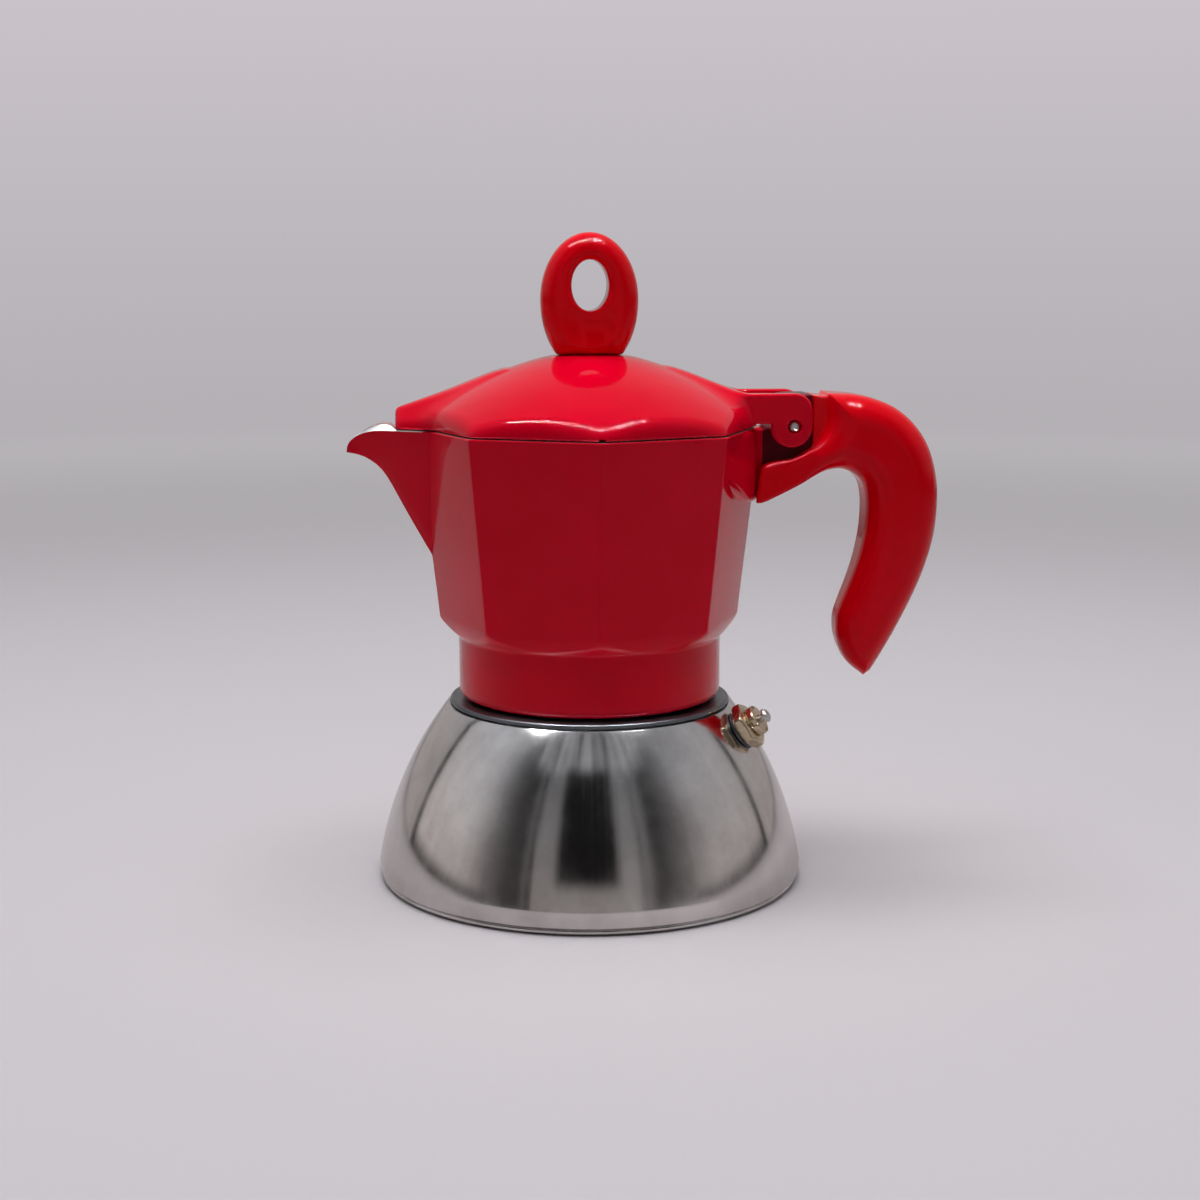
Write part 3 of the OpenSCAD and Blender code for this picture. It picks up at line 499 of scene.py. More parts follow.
def octagon_distance(x, y, r, k):
    """Distance to an octagon with corners on the axes, out to r, its corners softened by k."""
    made = None
    for i in range(8):
        a = math.radians(22.5 + 45 * i)
        side = x * math.cos(a) + y * math.sin(a) - r * COS_HALF
        made = side if made is None else smax(made, side, k)
    return made


# ---------------- jug

RIM_Z, RIM_R = 101.0, 38.2
BASE_Z, BASE_R = 59.8, 33.4
NECK_R, NECK_Z = 29.2, 41.6
NECK_FOOT_R = 1.8  # rounding of the neck's lower edge
FLOOR_Z = 60.0
JUG_WALL = 2.6
EDGE_R = 0.9  # rounding of the upright edges
ARC = 5  # steps in one rounded edge

# The spout's heights go from its foot to the rim, as shares. Its x is taken towards the tip.
LEVELS = (0.0, 0.2, 0.4, 0.6, 0.8, 0.992, 1.0)
SPOUT_ROOT_X, SPOUT_TIP_X = 34.9, 53.2
SPOUT_FOOT_Z, SPOUT_INNER_FOOT_Z = 73.0, 72.6
SPOUT_RUN, SPOUT_TAPER = 18.3, 18.4
SPOUT_TIP_HALF, SPOUT_FLARE = 0.5, 7.6
SPOUT_FULLNESS = 0.75
KEEL_HALF = 0.344
INNER_ROOT_X, INNER_RUN = 32.15, 17.45
INNER_TIP_HALF, INNER_FLARE = 0.3, 8.03
LIP_X, LIP_RUN = 45.5, 7.7
LIP_TIP_Z, LIP_DROP = 96.4, 4.6
LIP_BEVEL = 0.25  # inset of both faces at the rim

KEEL = smooth_curve(
    [
        (SPOUT_ROOT_X, SPOUT_FOOT_Z), (39.2, 80.7), (42.0, 85.9), (43.4, 88.6), (44.9, 91.1),
        (46.4, 92.9), (48.6, 94.5), (50.7, 95.4), (SPOUT_TIP_X, 95.9),
    ],
    8,
)
SPOUT_X = [SPOUT_ROOT_X, 36.6, 38.3, 40.0, 41.7, 43.4, 44.6]
SPOUT_X += [LIP_X + LIP_RUN * math.sin(math.radians(a)) for a in range(0, 91, 10)]


def jug_r(z):
    """Radius of the octagon's corners at this height."""
    return BASE_R + (RIM_R - BASE_R) * (z - BASE_Z) / (RIM_Z - BASE_Z)


def keel_z(x):
    """Height of the spout's underside, carried on straight behind its root."""
    xs, zs = zip(*KEEL)
    if x < xs[0]:
        return zs[0] + (x - xs[0]) * 1.8
    return float(np.interp(x, xs, zs))


def lip_z(x):
    """Height of the lip, level with the rim and then falling to the tip."""
    if x < LIP_X:
        return RIM_Z
    return LIP_TIP_Z + LIP_DROP * math.sqrt(max(0.0, 1 - ((x - LIP_X) / LIP_RUN) ** 2))


def lip_swell(x):
    """How far the lip's inner edge stands above its outer edge."""
    rise = min(1.0, max(0.0, (x - 42.6) / 1.2))
    fall = max(0.1, min(1.0, (50.4 - x) / 5))
    return 1.3 * rise * fall


def spout_half(x):
    """Half width between the lips."""
    return SPOUT_TIP_HALF + SPOUT_FLARE * max(0.0, (SPOUT_TIP_X - x) / SPOUT_TAPER) ** SPOUT_FULLNESS


def corner_arc(k, apothem, radius, z):
    """Points round the octagon's corner number k."""
    far = (apothem - radius) / COS_HALF
    a = math.radians(45 * k)
    made = []
    for i in range(ARC + 1):
        b = a + math.radians(45 * i / ARC - 22.5)
        x = far * math.cos(a) + radius * math.cos(b)
        y = far * math.sin(a) + radius * math.sin(b)
        made.append((x, y, z))
    return made


def jug_row(apothem, radius, z, crease=None):
    """(points from one side of the spout round the back to the other, points across its corner)."""
    across = corner_arc(4, apothem, radius, z)
    round_back = [p for k in (5, 6, 7, 0, 1, 2, 3) for p in corner_arc(k, apothem, radius, z)]
    if crease is None:
        return [across[-1]] + round_back + [across[0]], across[1:-1]
    half = max((apothem / COS_HALF - crease) / TAN_HALF, radius * math.sin(math.radians(22.5)))
    x = half * TAN_HALF - apothem / COS_HALF
    return [(x, -half, z)] + round_back + [(x, half, z)], []


def run_of(row, start):
    """Numbers of a row's points, when the first is number start."""
    return list(range(start, start + len(row)))


def strip(lower, upper):
    """Faces between two rows of point numbers."""
    return [[lower[i], lower[i + 1], upper[i + 1], upper[i]] for i in range(len(lower) - 1)]


def jug_skin(rows, foot_row, spout):
    """One face of the wall: rows from below to the rim, then the spout's rows.
    Returns points, faces, the numbers of each row's points, those along both lips, and the tip's."""
    points, faces, index = [], [], []
    for around, across in rows:
        start = len(points)
        points += around + across
        index.append((run_of(around, start), run_of(across, start + len(around))))
    for (a, ax), (b, bx) in zip(index, index[1:]):
        faces += strip(a, b)
        if ax and bx:
            faces += strip([a[-1]] + ax + [a[0]], [b[-1]] + bx + [b[0]])
    wall = index[foot_row:]
    near = [a[0] for a, _ in reversed(wall)]
    far = [a[-1] for a, _ in wall]
    previous = near + wall[0][1][::-1] + far
    near_rim, far_rim = [previous[0]], [previous[-1]]
    for row in spout:
        start = len(points)
        points += row
        current = run_of(row, start)
        faces += [
            [previous[i], current[i], current[i + 1], previous[i + 1]] for i in range(len(current) - 1)
        ]
        near_rim.append(current[0])
        far_rim.append(current[-1])
        previous = current
    return points, faces, index, near_rim, far_rim, previous


def spout_row(x, half, keel, top, round_half):
    """Points of the spout's section at x, from one lip down to the keel and up to the other."""
    side = [(round_half + (half - round_half) * t, keel + (top - keel) * t) for t in LEVELS]
    across = [(round_half * s, keel - 0.25 * (1 - s * s)) for s in np.linspace(-1, 1, ARC + 1)[1:-1]]
    return (
        [(-x, -y, z) for y, z in reversed(side)]
        + [(-x, y, z) for y, z in across]
        + [(-x, y, z) for y, z in side]
    )


def outside_rows():
    """The neck, the slope under the jug, and the octagon up to the rim."""
    rows = []
    edge = NECK_FOOT_R
    for a in (0, 15, 30, 45, 60, 75, 90):
        r = NECK_R - edge + edge * math.sin(math.radians(a))
        rows.append(jug_row(r, r, NECK_Z + edge * (1 - math.cos(math.radians(a)))))
    for z, out in ((48.0, 0.0), (54.6, 0.0), (55.1, 0.05), (55.5, 0.25), (55.75, 0.6)):
        rows.append(jug_row(NECK_R + out, NECK_R + out, z))
    foot = BASE_R * COS_HALF
    for share, z in ((0.3, 56.5), (0.6, 57.5), (0.85, 58.5), (0.96, 59.2), (1.0, 60.0)):
        apothem = NECK_R + 0.6 + (foot + 0.05 - NECK_R - 0.6) * share
        radius = apothem + (EDGE_R + 0.8 * (1 - share) - apothem) * min(1.0, share * 1.02)
        rows.append(jug_row(apothem, radius, z))
    for z in (62.0, 68.0):
        rows.append(jug_row(jug_r(z) * COS_HALF, EDGE_R, z))
    foot_row = len(rows)
    for t in LEVELS:
        z = SPOUT_FOOT_Z + (RIM_Z - SPOUT_FOOT_Z) * t
        bevel = LIP_BEVEL if t == 1.0 else 0.0
        row = jug_row(jug_r(z) * COS_HALF - bevel, EDGE_R, z, SPOUT_ROOT_X)
        rows.append(row if t else (row[0], jug_row(jug_r(z) * COS_HALF, EDGE_R, z)[1]))
    return rows, foot_row


def inside_rows():
    """The rounded foot of the jug's inside, and its walls up to the rim."""
    rows = []
    for inset, z in ((4.0, FLOOR_Z), (2.2, 60.25), (0.9, 61.0), (0.2, 62.2), (0.0, 63.6), (0.0, 68.0)):
        rows.append(jug_row((jug_r(z) - JUG_WALL) * COS_HALF - inset, EDGE_R + inset, z))
    foot_row = len(rows)
    for t in LEVELS:
        z = SPOUT_INNER_FOOT_Z + (RIM_Z - SPOUT_INNER_FOOT_Z) * t
        apothem = (jug_r(z) - JUG_WALL) * COS_HALF + (LIP_BEVEL if t == 1.0 else 0.0)
        row = jug_row(apothem, EDGE_R, z, INNER_ROOT_X)
        rows.append(row if t else (row[0], jug_row(apothem, EDGE_R, z)[1]))
    return rows, foot_row


def build_jug():
    """Wall, floor and spout. Slots: 0 enamel, 1 bare metal, 2 ground edge."""
    rows, foot_row = outside_rows()
    outer = [spout_row(x, spout_half(x), keel_z(x) + 0.25, lip_z(x), KEEL_HALF) for x in SPOUT_X[1:]]
    points, faces, index, near, far, tip = jug_skin(rows, foot_row, outer)
    slots = [0] * len(faces)

    in_rows, in_foot = inside_rows()
    inner = []
    for x in SPOUT_X[1:]:
        share = (x - SPOUT_ROOT_X) / SPOUT_RUN
        xi = INNER_ROOT_X + share * INNER_RUN
        half = INNER_TIP_HALF + INNER_FLARE * max(0.0, 1 - share) ** SPOUT_FULLNESS
        lip = lip_z(xi) + lip_swell(xi)
        inner.append(spout_row(xi, half, keel_z(xi + 2.0) + 1.0, lip, min(KEEL_HALF, half * 0.9)))
    in_points, in_faces, in_index, in_near, in_far, in_tip = jug_skin(in_rows, in_foot, inner)
    shift = len(points)
    points += in_points
    faces += [[i + shift for i in reversed(f)] for f in in_faces]
    slots += [1] * len(in_faces)

    rim = index[-1][0]
    bridges = (
        (rim, in_index[-1][0]),
        (near[::-1], in_near[::-1]),
        (far, in_far),
        (tip[::-1], in_tip[::-1]),
    )
    for outside, inside in bridges:
        made = strip(outside, [i + shift for i in inside])
        faces += made
        slots += [1 if outside is rim else 2] * len(made)
    # A narrow band beside each lip of the spout is ground bare too
    bare = set(near + far) | {i + 1 for i in near[1:]} | {i - 1 for i in far[1:]}
    slots = [2 if slot == 0 and bare.issuperset(face) else slot for slot, face in zip(slots, faces)]

    # The floor runs in to a ring that the column covers
    ring_r = 5
    floor = [i + shift for i in in_index[0][0] + in_index[0][1]]
    middle = len(points)
    for i in floor:
        x, y, _ = points[i]
        r = math.hypot(x, y)
        points.append((x * ring_r / r, y * ring_r / r, FLOOR_Z))
    for i in range(len(floor)):
        j = (i + 1) % len(floor)
        faces.append([floor[i], floor[j], middle + j, middle + i])
        slots.append(1)
    jug = make_piece("jug", points, faces, [ENAMEL, CAST, GROUND], slots)
    weld(jug, 0.01)
    return sharpen(jug, 38.0)


THREAD_PITCH = 3.0


def thread_ridge(foot_r, crest_r, start, turns, z):
    """Points and faces of a helical ridge that fades out at both ends."""
    steps = math.ceil(turns * 56)
    points, faces = [], []
    outline = [(foot_r, -0.95), (crest_r, -0.4), (crest_r, 0.4), (foot_r, 0.95)]
    for i in range(steps + 1):
        turn = start + turns * i / steps
        fade = min(1.0, i / 10, (steps - i) / 10)
        a = 2 * math.pi * turn
        for r, h in outline:
            r = foot_r + (r - foot_r) * (0.1 + 0.9 * fade)
            points.append((r * math.cos(a), r * math.sin(a), z + THREAD_PITCH * turn + h))
    for i in range(steps):
        for k in range(4):
            faces.append([i * 4 + k, i * 4 + (k + 1) % 4, i * 4 + 4 + (k + 1) % 4, i * 4 + 4 + k])
    faces += [[0, 1, 2, 3], [steps * 4 + 3, steps * 4 + 2, steps * 4 + 1, steps * 4]]
    return points, faces


def join(name, objects):
    """One object from several."""
    made = bmesh.new()
    materials = []
    for obj in objects:
        part = obj.data.copy()
        for polygon in part.polygons:
            material = obj.data.materials[polygon.material_index]
            if material not in materials:
                materials.append(material)
            polygon.material_index = materials.index(material)
        made.from_mesh(part)
    mesh = bpy.data.meshes.new(name)
    made.to_mesh(mesh)
    made.free()
    for material in materials:
        mesh.materials.append(material)
    for obj in objects:
        bpy.data.objects.remove(obj)
    obj = bpy.data.objects.new(name, mesh)
    bpy.context.scene.collection.objects.link(obj)
    return obj


jug = build_jug()
bore = lathe(
    "jug_bore",
    [
        (27.7, 41.62), (27.1, 42.2), (27.1, 51.9), (25.7, 51.9), (25.7, 56.2), (20.2, 56.3),
        (5.2, 57.6), (4.3, 58.0), (4.3, 59.9), (27.4, 59.9), (27.4, 41.7),
    ],
    [CAST],
)
ridge = sharpen(make_piece("jug_thread", *thread_ridge(27.5, 25.9, -0.4, 2.2, 45.1), [CAST]))
jug = join("jug_body", [jug, bore, ridge])

# ---------------- hinge block, lid, knob, handle

HINGE_X, HINGE_Z = 44.2, 101.6
GRIP_PIN_X, GRIP_PIN_Z, GRIP_PIN_HOLE_R = 42.6, 91.2, 1.22
HINGE_HALF = 9.2  # half width over both ears
PAD_X = 37.4
KNUCKLE_HALF = 5.0
SLOT_HALF = 5.1
CORNER = RIM_R / math.sqrt(2)
PAD = hull_planes(
    box_points(20, 35.3, -HINGE_HALF, HINGE_HALF, 85, 101)
    + box_points(36.4, PAD_X, -4.0, 4.0, 85, 101)
    + box_points(CORNER - 2.2, CORNER - 0.8, CORNER - 1.7, CORNER - 1.5, 92, 101)
    + box_points(CORNER - 2.2, CORNER - 0.8, 1.5 - CORNER, 1.7 - CORNER, 92, 101)
)


def circle_points(x, z, r, a0, a1, n=14):
    """Points of an arc from a0 to a1 degrees."""
    turns = [math.radians(a0 + (a1 - a0) * i / n) for i in range(n + 1)]
    return [(x + r * math.cos(a), z + r * math.sin(a)) for a in turns]


BOSS_X = 43.6
KNUCKLE = (
    [(32, 86.6), (38, 86.6), (48.6, 91.6), (48.6, 108.0), (48.2, 108.4), (BOSS_X, 108.4)]
    + circle_points(BOSS_X, HINGE_Z + 2.4, 4.4, 90, 180)[1:]
    + [(39.2, 101.0), (32, 100)]
)
EAR = (
    [(31, 102.2), (39.0, 102.2)]
    + circle_points(BOSS_X, HINGE_Z, 4.6, 175, 360)
    + circle_points(44.4, 105.0, 3.8, 0, 90)
    + [(31, 108.8)]
)


def pin_hole(p, x, z, r):
    """Positive within a hole of radius r along Y."""
    return r - np.hypot(p[:, 0] - x, p[:, 2] - z)


def hinge_block(p):
    """Pad on the jug's corner with the knuckle, cut back from the jug's inside."""
    x, y, z = p.T
    pad = smax(hull_distance(p, PAD, 1.4), z - RIM_Z, 0.4)
    knuckle = rounded_both(outline_distance(x, z, KNUCKLE), np.abs(y) - KNUCKLE_HALF, 0.4)
    solid = smax(smin(pad, knuckle, 1.0), pin_hole(p, HINGE_X, HINGE_Z, 1.12), 0.2)
    solid = smax(solid, pin_hole(p, GRIP_PIN_X, GRIP_PIN_Z, GRIP_PIN_HOLE_R), 0.2)
    return smax(solid, -octagon_distance(x, y, jug_r(z) - 1.3, 0.1), 0.2)


def knuckle_side(middle):
    """Faces of the knuckle that the hinge's arms and the handle hide from the light; they get a darker
    enamel as painted shade.
    """
    return (np.abs(middle[:, 1]) < 5.3) & (middle[:, 0] > 37.6)


LID_Z, LID_TOP, LID_R = 101.3, 117.0, 38.0
LID_WALL = 1.8
EAR_Y, EAR_HALF = 7.35, 1.85
EAR_GAP_X, EAR_GAP_HALF = 36.9, 5.5
KNOB_SCREW_R = 2.1
CROWN_X, CROWN_Z, CROWN_R = -7.65, 46.7, 72.0
NOSE = hull_planes(
    box_points(-42.5, -41.5, -4.4, 4.4, 99, 102.5)
    + box_points(-42.5, -41.5, -1.4, 1.4, 105, 105.6)
    + box_points(-34.8, -33.8, -8.1, 8.1, 99, 103.7)
    + box_points(-20, -19, -4, 4, 99, 113.3)
)
FAIRING = hull_planes(
    box_points(18, 19, -4.5, 4.5, 112, 113.6)
    + box_points(32, 33.5, -HINGE_HALF, HINGE_HALF, 102.4, 108.8)
    + box_points(26, 27, -14, 14, 103, 105)
)


def lid_field(p):
    """Crowned octagon with the spout's cover, hollow underneath, and two ears for the hinge."""
    x, y, z = p.T
    radius = np.hypot(x, y)
    crown = np.hypot(radius - CROWN_X, z - CROWN_Z)
    outside = smax(smax(crown - CROWN_R, octagon_distance(x, y, LID_R, 0.9), 1.9), z - LID_TOP, 0.6)
    outside = smin(outside, hull_distance(p, NOSE, 1.0), 2.5)
    outside = smin(outside, hull_distance(p, FAIRING, 1.0), 2.5)
    outside = smax(outside, LID_Z - z, 0.4)
    hollow = smax(crown - CROWN_R + LID_WALL, octagon_distance(x, y, LID_R - 2.4, 1.2), 1.5)
    hollow = smin(hollow, hull_distance(p, NOSE, 1.0) + LID_WALL, 1.0)
    outside = smax(outside, -hollow, 0.5)
    draft = 0.035 * np.abs(z - 102.6)
    thickness = np.abs(np.abs(y) - EAR_Y) - EAR_HALF + draft
    ear = rounded_both(outline_distance(x, z, EAR), thickness, 0.7)
    outside = smin(outside, ear, 0.9)
    gap = np.maximum(np.maximum(EAR_GAP_X - x, np.abs(y) - EAR_GAP_HALF), LID_Z - 1 - z)
    outside = smax(outside, -gap, 0.3)
    sunk = np.minimum(pin_hole(p, HINGE_X, HINGE_Z, 1.5), np.abs(y) - 8.2)
    pin = np.maximum(pin_hole(p, HINGE_X, HINGE_Z, 1.16), sunk)
    return smax(smax(outside, pin, 0.1), KNOB_SCREW_R - radius, 0.2)


KNOB_MIDDLE, KNOB_R, KNOB_HALF = 128.8, 10.7, 5.0
KNOB_UP, KNOB_DOWN = 14.6, 16.0
KNOB_EDGE_R = 4.2
HOLE_Z, HOLE_R, HOLE_UP = 132, 4.0, 5.5
DISH_Z, DISH_Y, DISH_R = 123.6, 16.3, 12.7


def oval(across, middle, up, angles):
    """Points of an oval; across and up may be negative."""
    return [(across * math.cos(a), middle + up * math.sin(a)) for a in angles]


KNOB = (
    oval(KNOB_R, KNOB_MIDDLE, KNOB_UP, np.linspace(0, math.pi, 60))
    + oval(-KNOB_R, KNOB_MIDDLE, -KNOB_DOWN, np.linspace(0, 0.9, 24)[1:])
    + oval(KNOB_R, KNOB_MIDDLE, -KNOB_DOWN, np.linspace(0.9, 0, 24)[:-1])
)
FINGER_HOLE = oval(HOLE_R, HOLE_Z, HOLE_UP, np.linspace(0, 2 * math.pi, 49)[:-1])


def knob_field(p):
    """Rounded loop with a finger hole and a shallow dish on each face."""
    x, y, z = p.T
    dish = np.sqrt(x**2 + (z - DISH_Z) ** 2 + (np.abs(y) - DISH_Y) ** 2) - DISH_R
    solid = rounded_both(outline_distance(x, z, KNOB), np.abs(y) - KNOB_HALF, KNOB_EDGE_R)
    solid = smax(solid, -outline_distance(x, z, FINGER_HOLE), 2.2)
    solid = smax(solid, -dish, 0.4)
    return smax(solid, LID_TOP - z, 0.5)


OUTSIDE = smooth_curve(
    [
        (52.2, 108.6), (58.5, 108.2), (63.5, 107), (68, 104.9), (72.1, 101.3), (75.2, 96.4), (77, 90),
        (77.37, 83.5), (76.6, 75.6), (74.4, 67.8), (71.4, 60.6), (67.4, 52.6), (63.5, 45.8),
    ],
    6,
)
INSIDE = smooth_curve(
    [
        (61.9, 44.7), (58.1, 47.9), (55.9, 52.1), (55.2, 56.2), (55.7, 60), (58.1, 66.4), (59.9, 72),
        (61.1, 78.2), (61.3, 84.4), (60.2, 89), (56.8, 91.5), (52.8, 91.8), (48.9, 90.5), (44.2, 88),
        (38.4, 85.2), (36.3, 84.7),
    ],
    6,
)
RECESS = smooth_curve(
    [
        (36.5, 87.9), (36.9, 91), (37.9, 93), (40, 93.9), (44.2, 94.6), (47.4, 96.2), (49.9, 97.9),
        (51.6, 100.3), (52.2, 103),
    ],
    6,
)
HANDLE = OUTSIDE + INSIDE + [np.array((35.8, 85.2))] + RECESS
HANDLE_WEB = [(48.8, 93), (56, 98), (56, 107.4), (48.8, 108.2)]
HANDLE_SLOT = [(32, 86.4), (38, 86.4), (48.6, 91.4), (48.8, 91.4), (48.8, 117), (32, 117)]


def handle_field(p):
    """Lever, narrower towards its tip, with a slot for the knuckle and a root cut to the pad."""
    x, y, z = p.T
    half = np.interp(z, (40, 80), (6.25, 8.8))
    radius = 0.9 + 5.0 * np.clip((x - 47) / 9, 0, 1)
    solid = rounded_both(outline_distance(x, z, HANDLE), np.abs(y) - half, radius)
    web = rounded_both(outline_distance(x, z, HANDLE_WEB), np.abs(y) - SLOT_HALF, 0.3)
    solid = smin(solid, web, 0.8)
    slot = np.maximum(outline_distance(x, z, HANDLE_SLOT), np.abs(y) - SLOT_HALF)
    solid = smax(solid, -slot, 0.3)
    pad = np.maximum(x - PAD_X, ((x - PAD_X) * 5.2 + (np.abs(y) - 4) * 2.1) / 5.608)
    solid = smax(solid, 0.2 - pad, 0.3)
    hole = np.minimum(pin_hole(p, GRIP_PIN_X, GRIP_PIN_Z, GRIP_PIN_HOLE_R), y + 7.1)
    return smax(solid, hole, 0.2)


block = skin(
    "jug_hinge_block",
    hinge_block,
    (26, -27, 84),
    (49.5, 27, 109),
    0.5,
    [ENAMEL, ENAMEL_PAINTED_SHADE],
    knuckle_side,
)
lid = skin("lid_shell", lid_field, (-43, -36.5, 96.5), (48.5, 36.5, 118), 0.5, [ENAMEL])
knob = skin("lid_knob", knob_field, (-11, -5.2, 116.8), (11, 5.2, 143.6), 0.35, [PLASTIC])
handle = skin("grip", handle_field, (35.4, -9, 44), (78, 9, 109), 0.5, [PLASTIC])

# ---------------- boiler

DOME_X, DOME_Z, DOME_R = -29.52, -8.43, 78.0


def dome_profile(inset, z0, z1, steps=28):
    """Points (r, z) along the bell's side from z0 to z1."""
    r = DOME_R - inset
    a0, a1 = math.asin((z0 - DOME_Z) / r), math.asin((z1 - DOME_Z) / r)
    turns = [a0 + (a1 - a0) * i / steps for i in range(steps + 1)]
    return [(DOME_X + r * math.cos(a), DOME_Z + r * math.sin(a)) for a in turns]


bell = lathe(
    "bell",
    [(46.5, 1.45), (46.95, 1.45), (47.25, 1.75), (47.4, 2.6)]
    + dome_profile(0.0, 4.0, 39.5)
    + [(31.75, 39.8), (31.3, 39.85), (31.0, 39.6)]
    + dome_profile(1.0, 39.0, 4.0, 12),
    [STEEL],
    192,
)
DISC = [
    (0, 0.3), (11, 0.3), (11, 0), (12, 0), (12, 0.3), (13, 0.3), (13, 0),
    (44, 0), (46.4, 0), (46.9, 0.5), (46.9, 1.0), (46.5, 1.4), (0, 1.4),
]
disc = lathe("bottom_disc", rounded(DISC, 0.25), [STEEL])
COLLAR_STEP = [(31.2, 39.8), (31.2, 41.0), (25.2, 41.0), (25.2, 51.6), (22.6, 51.6)]
# The flange takes the near-black metal as painted shade; the neck inside takes bare cast aluminium
collar = lathe(
    "collar",
    [(22.6, 38.5), (30.1, 38.4), (30.1, 39.8)] + rounded(COLLAR_STEP, 0.6)[:-1] + [(22.6, 51.2)],
    [DARK_METAL_PAINTED_SHADE, CAST],
    slot_of=lambda a, b: int(min(a[0], b[0]) < 25.6),
)

# ---------------- safety valve, drawn upright and set on the bell

VALVE_Z, VALVE_TURN = 35.2, -22.5
VALVE_TILT = math.asin((VALVE_Z - DOME_Z) / DOME_R)
VALVE_PLACE = (
    Matrix.Rotation(math.radians(VALVE_TURN), 4, "Z")
    @ Matrix.Translation((DOME_X + DOME_R * math.cos(VALVE_TILT), 0, VALVE_Z))
    @ Matrix.Rotation(math.pi / 2 - VALVE_TILT, 4, "Y")
)


HEX_HALF, HEX_MIDDLE = 4.7, 1.9
SHANK_R = 3.0
CAP_R, CAP_MIDDLE = 3.4, 4.3


def hexagon_field(p):
    """Chamfered hexagon with its shank, bored through."""
    x, y, z = p.T
    sides = None
    for i in range(3):
        a = math.radians(30 + 60 * i)
        side = np.abs(x * math.cos(a) + y * math.sin(a)) - HEX_HALF
        sides = side if sides is None else smax(sides, side, 0.5)
    radius = np.hypot(x, y)
    slab = np.abs(z - HEX_MIDDLE) - 1.5
    chamfer = (radius - 4.75) * 0.5 + (np.abs(z - HEX_MIDDLE) - 1.15) * 0.866
    solid = smax(smax(sides, slab, 0.3), chamfer, 0.35)
    shank = smax(radius - SHANK_R, np.abs(z + 2.3) - 2.7, 0.3)
    solid = smin(solid, shank, 0.2)
    return smax(solid, np.maximum(2.4 - radius, -3.2 - z), 0.1)


def cap_field(p):
    """Round hub with four notches and a hole for the pin."""
    x, y, z = p.T
    radius = np.hypot(x, y)
    solid = smax(radius - CAP_R, np.abs(z - CAP_MIDDLE) - 0.9, 0.5)
    for across, along in ((x, y), (y, x)):
        notch = np.maximum(np.maximum(np.abs(across) - 0.6, 2.5 - np.abs(along)), 3.9 - z)
        solid = smax(solid, -notch, 0.25)
    return smax(solid, 0.95 - radius, 0.15)


HEX_LOW, HEX_HIGH = (-5.6, -5.6, -5.1), (5.6, 5.6, 3.5)
CAP_LOW, CAP_HIGH = (-3.6, -3.6, 3.3), (3.6, 3.6, 5.3)
hexagon = skin("valve_hexagon", hexagon_field, HEX_LOW, HEX_HIGH, 0.2, [BRASS], place=VALVE_PLACE)
cap = skin("valve_slotted_cap", cap_field, CAP_LOW, CAP_HIGH, 0.16, [BRASS], place=VALVE_PLACE)
HEAD = oval(1.6, 6.7, 0.9, np.linspace(0, math.pi / 2, 8)[1:])
RELIEF = [
    (0, -2.4), (2.0, -2.4), (2.1, -2.3), (2.1, -1.7), (2.0, -1.6), (0.8, -1.6),
    (0.8, 6.3), (1.45, 6.3), (1.6, 6.45), (1.6, 6.7),
]
relief = lathe(
    "valve_relief_pin",
    RELIEF + HEAD[:-1] + [(0, 7.6)],
    [PIN],
    48,
    VALVE_PLACE,
)

# ---------------- funnel, gasket, column and pins

BASKET = [
    (4, 25.6), (4.8, 25.6), (4.8, 26.6), (20.8, 33.6), (20.8, 51.6), (24.8, 51.6),
    (24.8, 52.8), (20, 52.8), (20, 35.2), (18.4, 35.2), (18.4, 33.8), (4, 27.4),
]
SEAL = [(22.15, 52.85), (25.5, 52.85), (25.5, 56.25), (22.15, 56.25)]
COLUMN = [
    (3.0, 57.7), (4.2, 57.7), (4.2, 60.0), (6.4, 60.0), (6.35, 60.5), (4.75, 90.8),
    (4.5, 92.2), (3.9, 92.85), (2.6, 93.0), (0, 93.0), (0, 91.4), (3.0, 91.4),
]
basket = lathe("coffee_basket", rounded(BASKET, 0.5), [ALUMINIUM])
gasket = lathe("seal_ring", rounded(SEAL, 0.5), [RUBBER])
column = lathe("coffee_column", COLUMN, [CAST])
SIDEWAYS = Matrix.Rotation(math.pi / 2, 4, "X")


def cross_pin(name, x, z, radius, half):
    """Pin along Y with softly turned ends."""
    profile = [
        (0, -half),
        (radius * 0.55, -half),
        (radius * 0.62, 0.12 - half),
        (radius * 0.75, -half),
        (radius, 0.25 - half),
    ]
    profile += [(r, -h) for r, h in reversed(profile)]
    return lathe(name, profile, [PIN], 40, Matrix.Translation((x, 0, z)) @ SIDEWAYS)


hinge_pin = cross_pin("pin_of_hinge", HINGE_X, HINGE_Z, 1.1, 8.9)

# ---------------- where each piece belongs

for piece, body, nodes, slot in (
    (bell, "boiler", ["boiler_shell"], "polished_steel"),
    (disc, "boiler", ["base_disc"], "polished_steel"),
    (collar, "boiler", ["boiler_neck"], "turned_aluminium"),
    (hexagon, "boiler", ["valve_body"], "nickel_brass"),
    (cap, "boiler", ["valve_cap"], "nickel_brass"),
    (relief, "valve_pin", ["valve_pin"], "polished_steel"),
    (basket, "funnel", ["funnel_basket"], "cast_aluminium"),
    (gasket, "gasket", ["gasket"], "seal_rubber"),
    (jug, "collector", ["collector"], "red_enamel"),
    (block, "collector", ["collector"], "red_enamel"),
    (column, "collector", ["column"], "cast_aluminium"),
    (handle, "collector", ["handle"], "red_plastic"),
    (hinge_pin, "collector", ["hinge_pin"], "polished_steel"),
    (lid, "lid", ["lid"], "red_enamel"),
    (knob, "lid", ["knob"], "red_plastic"),
):
    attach(piece, body)
    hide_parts(*nodes)

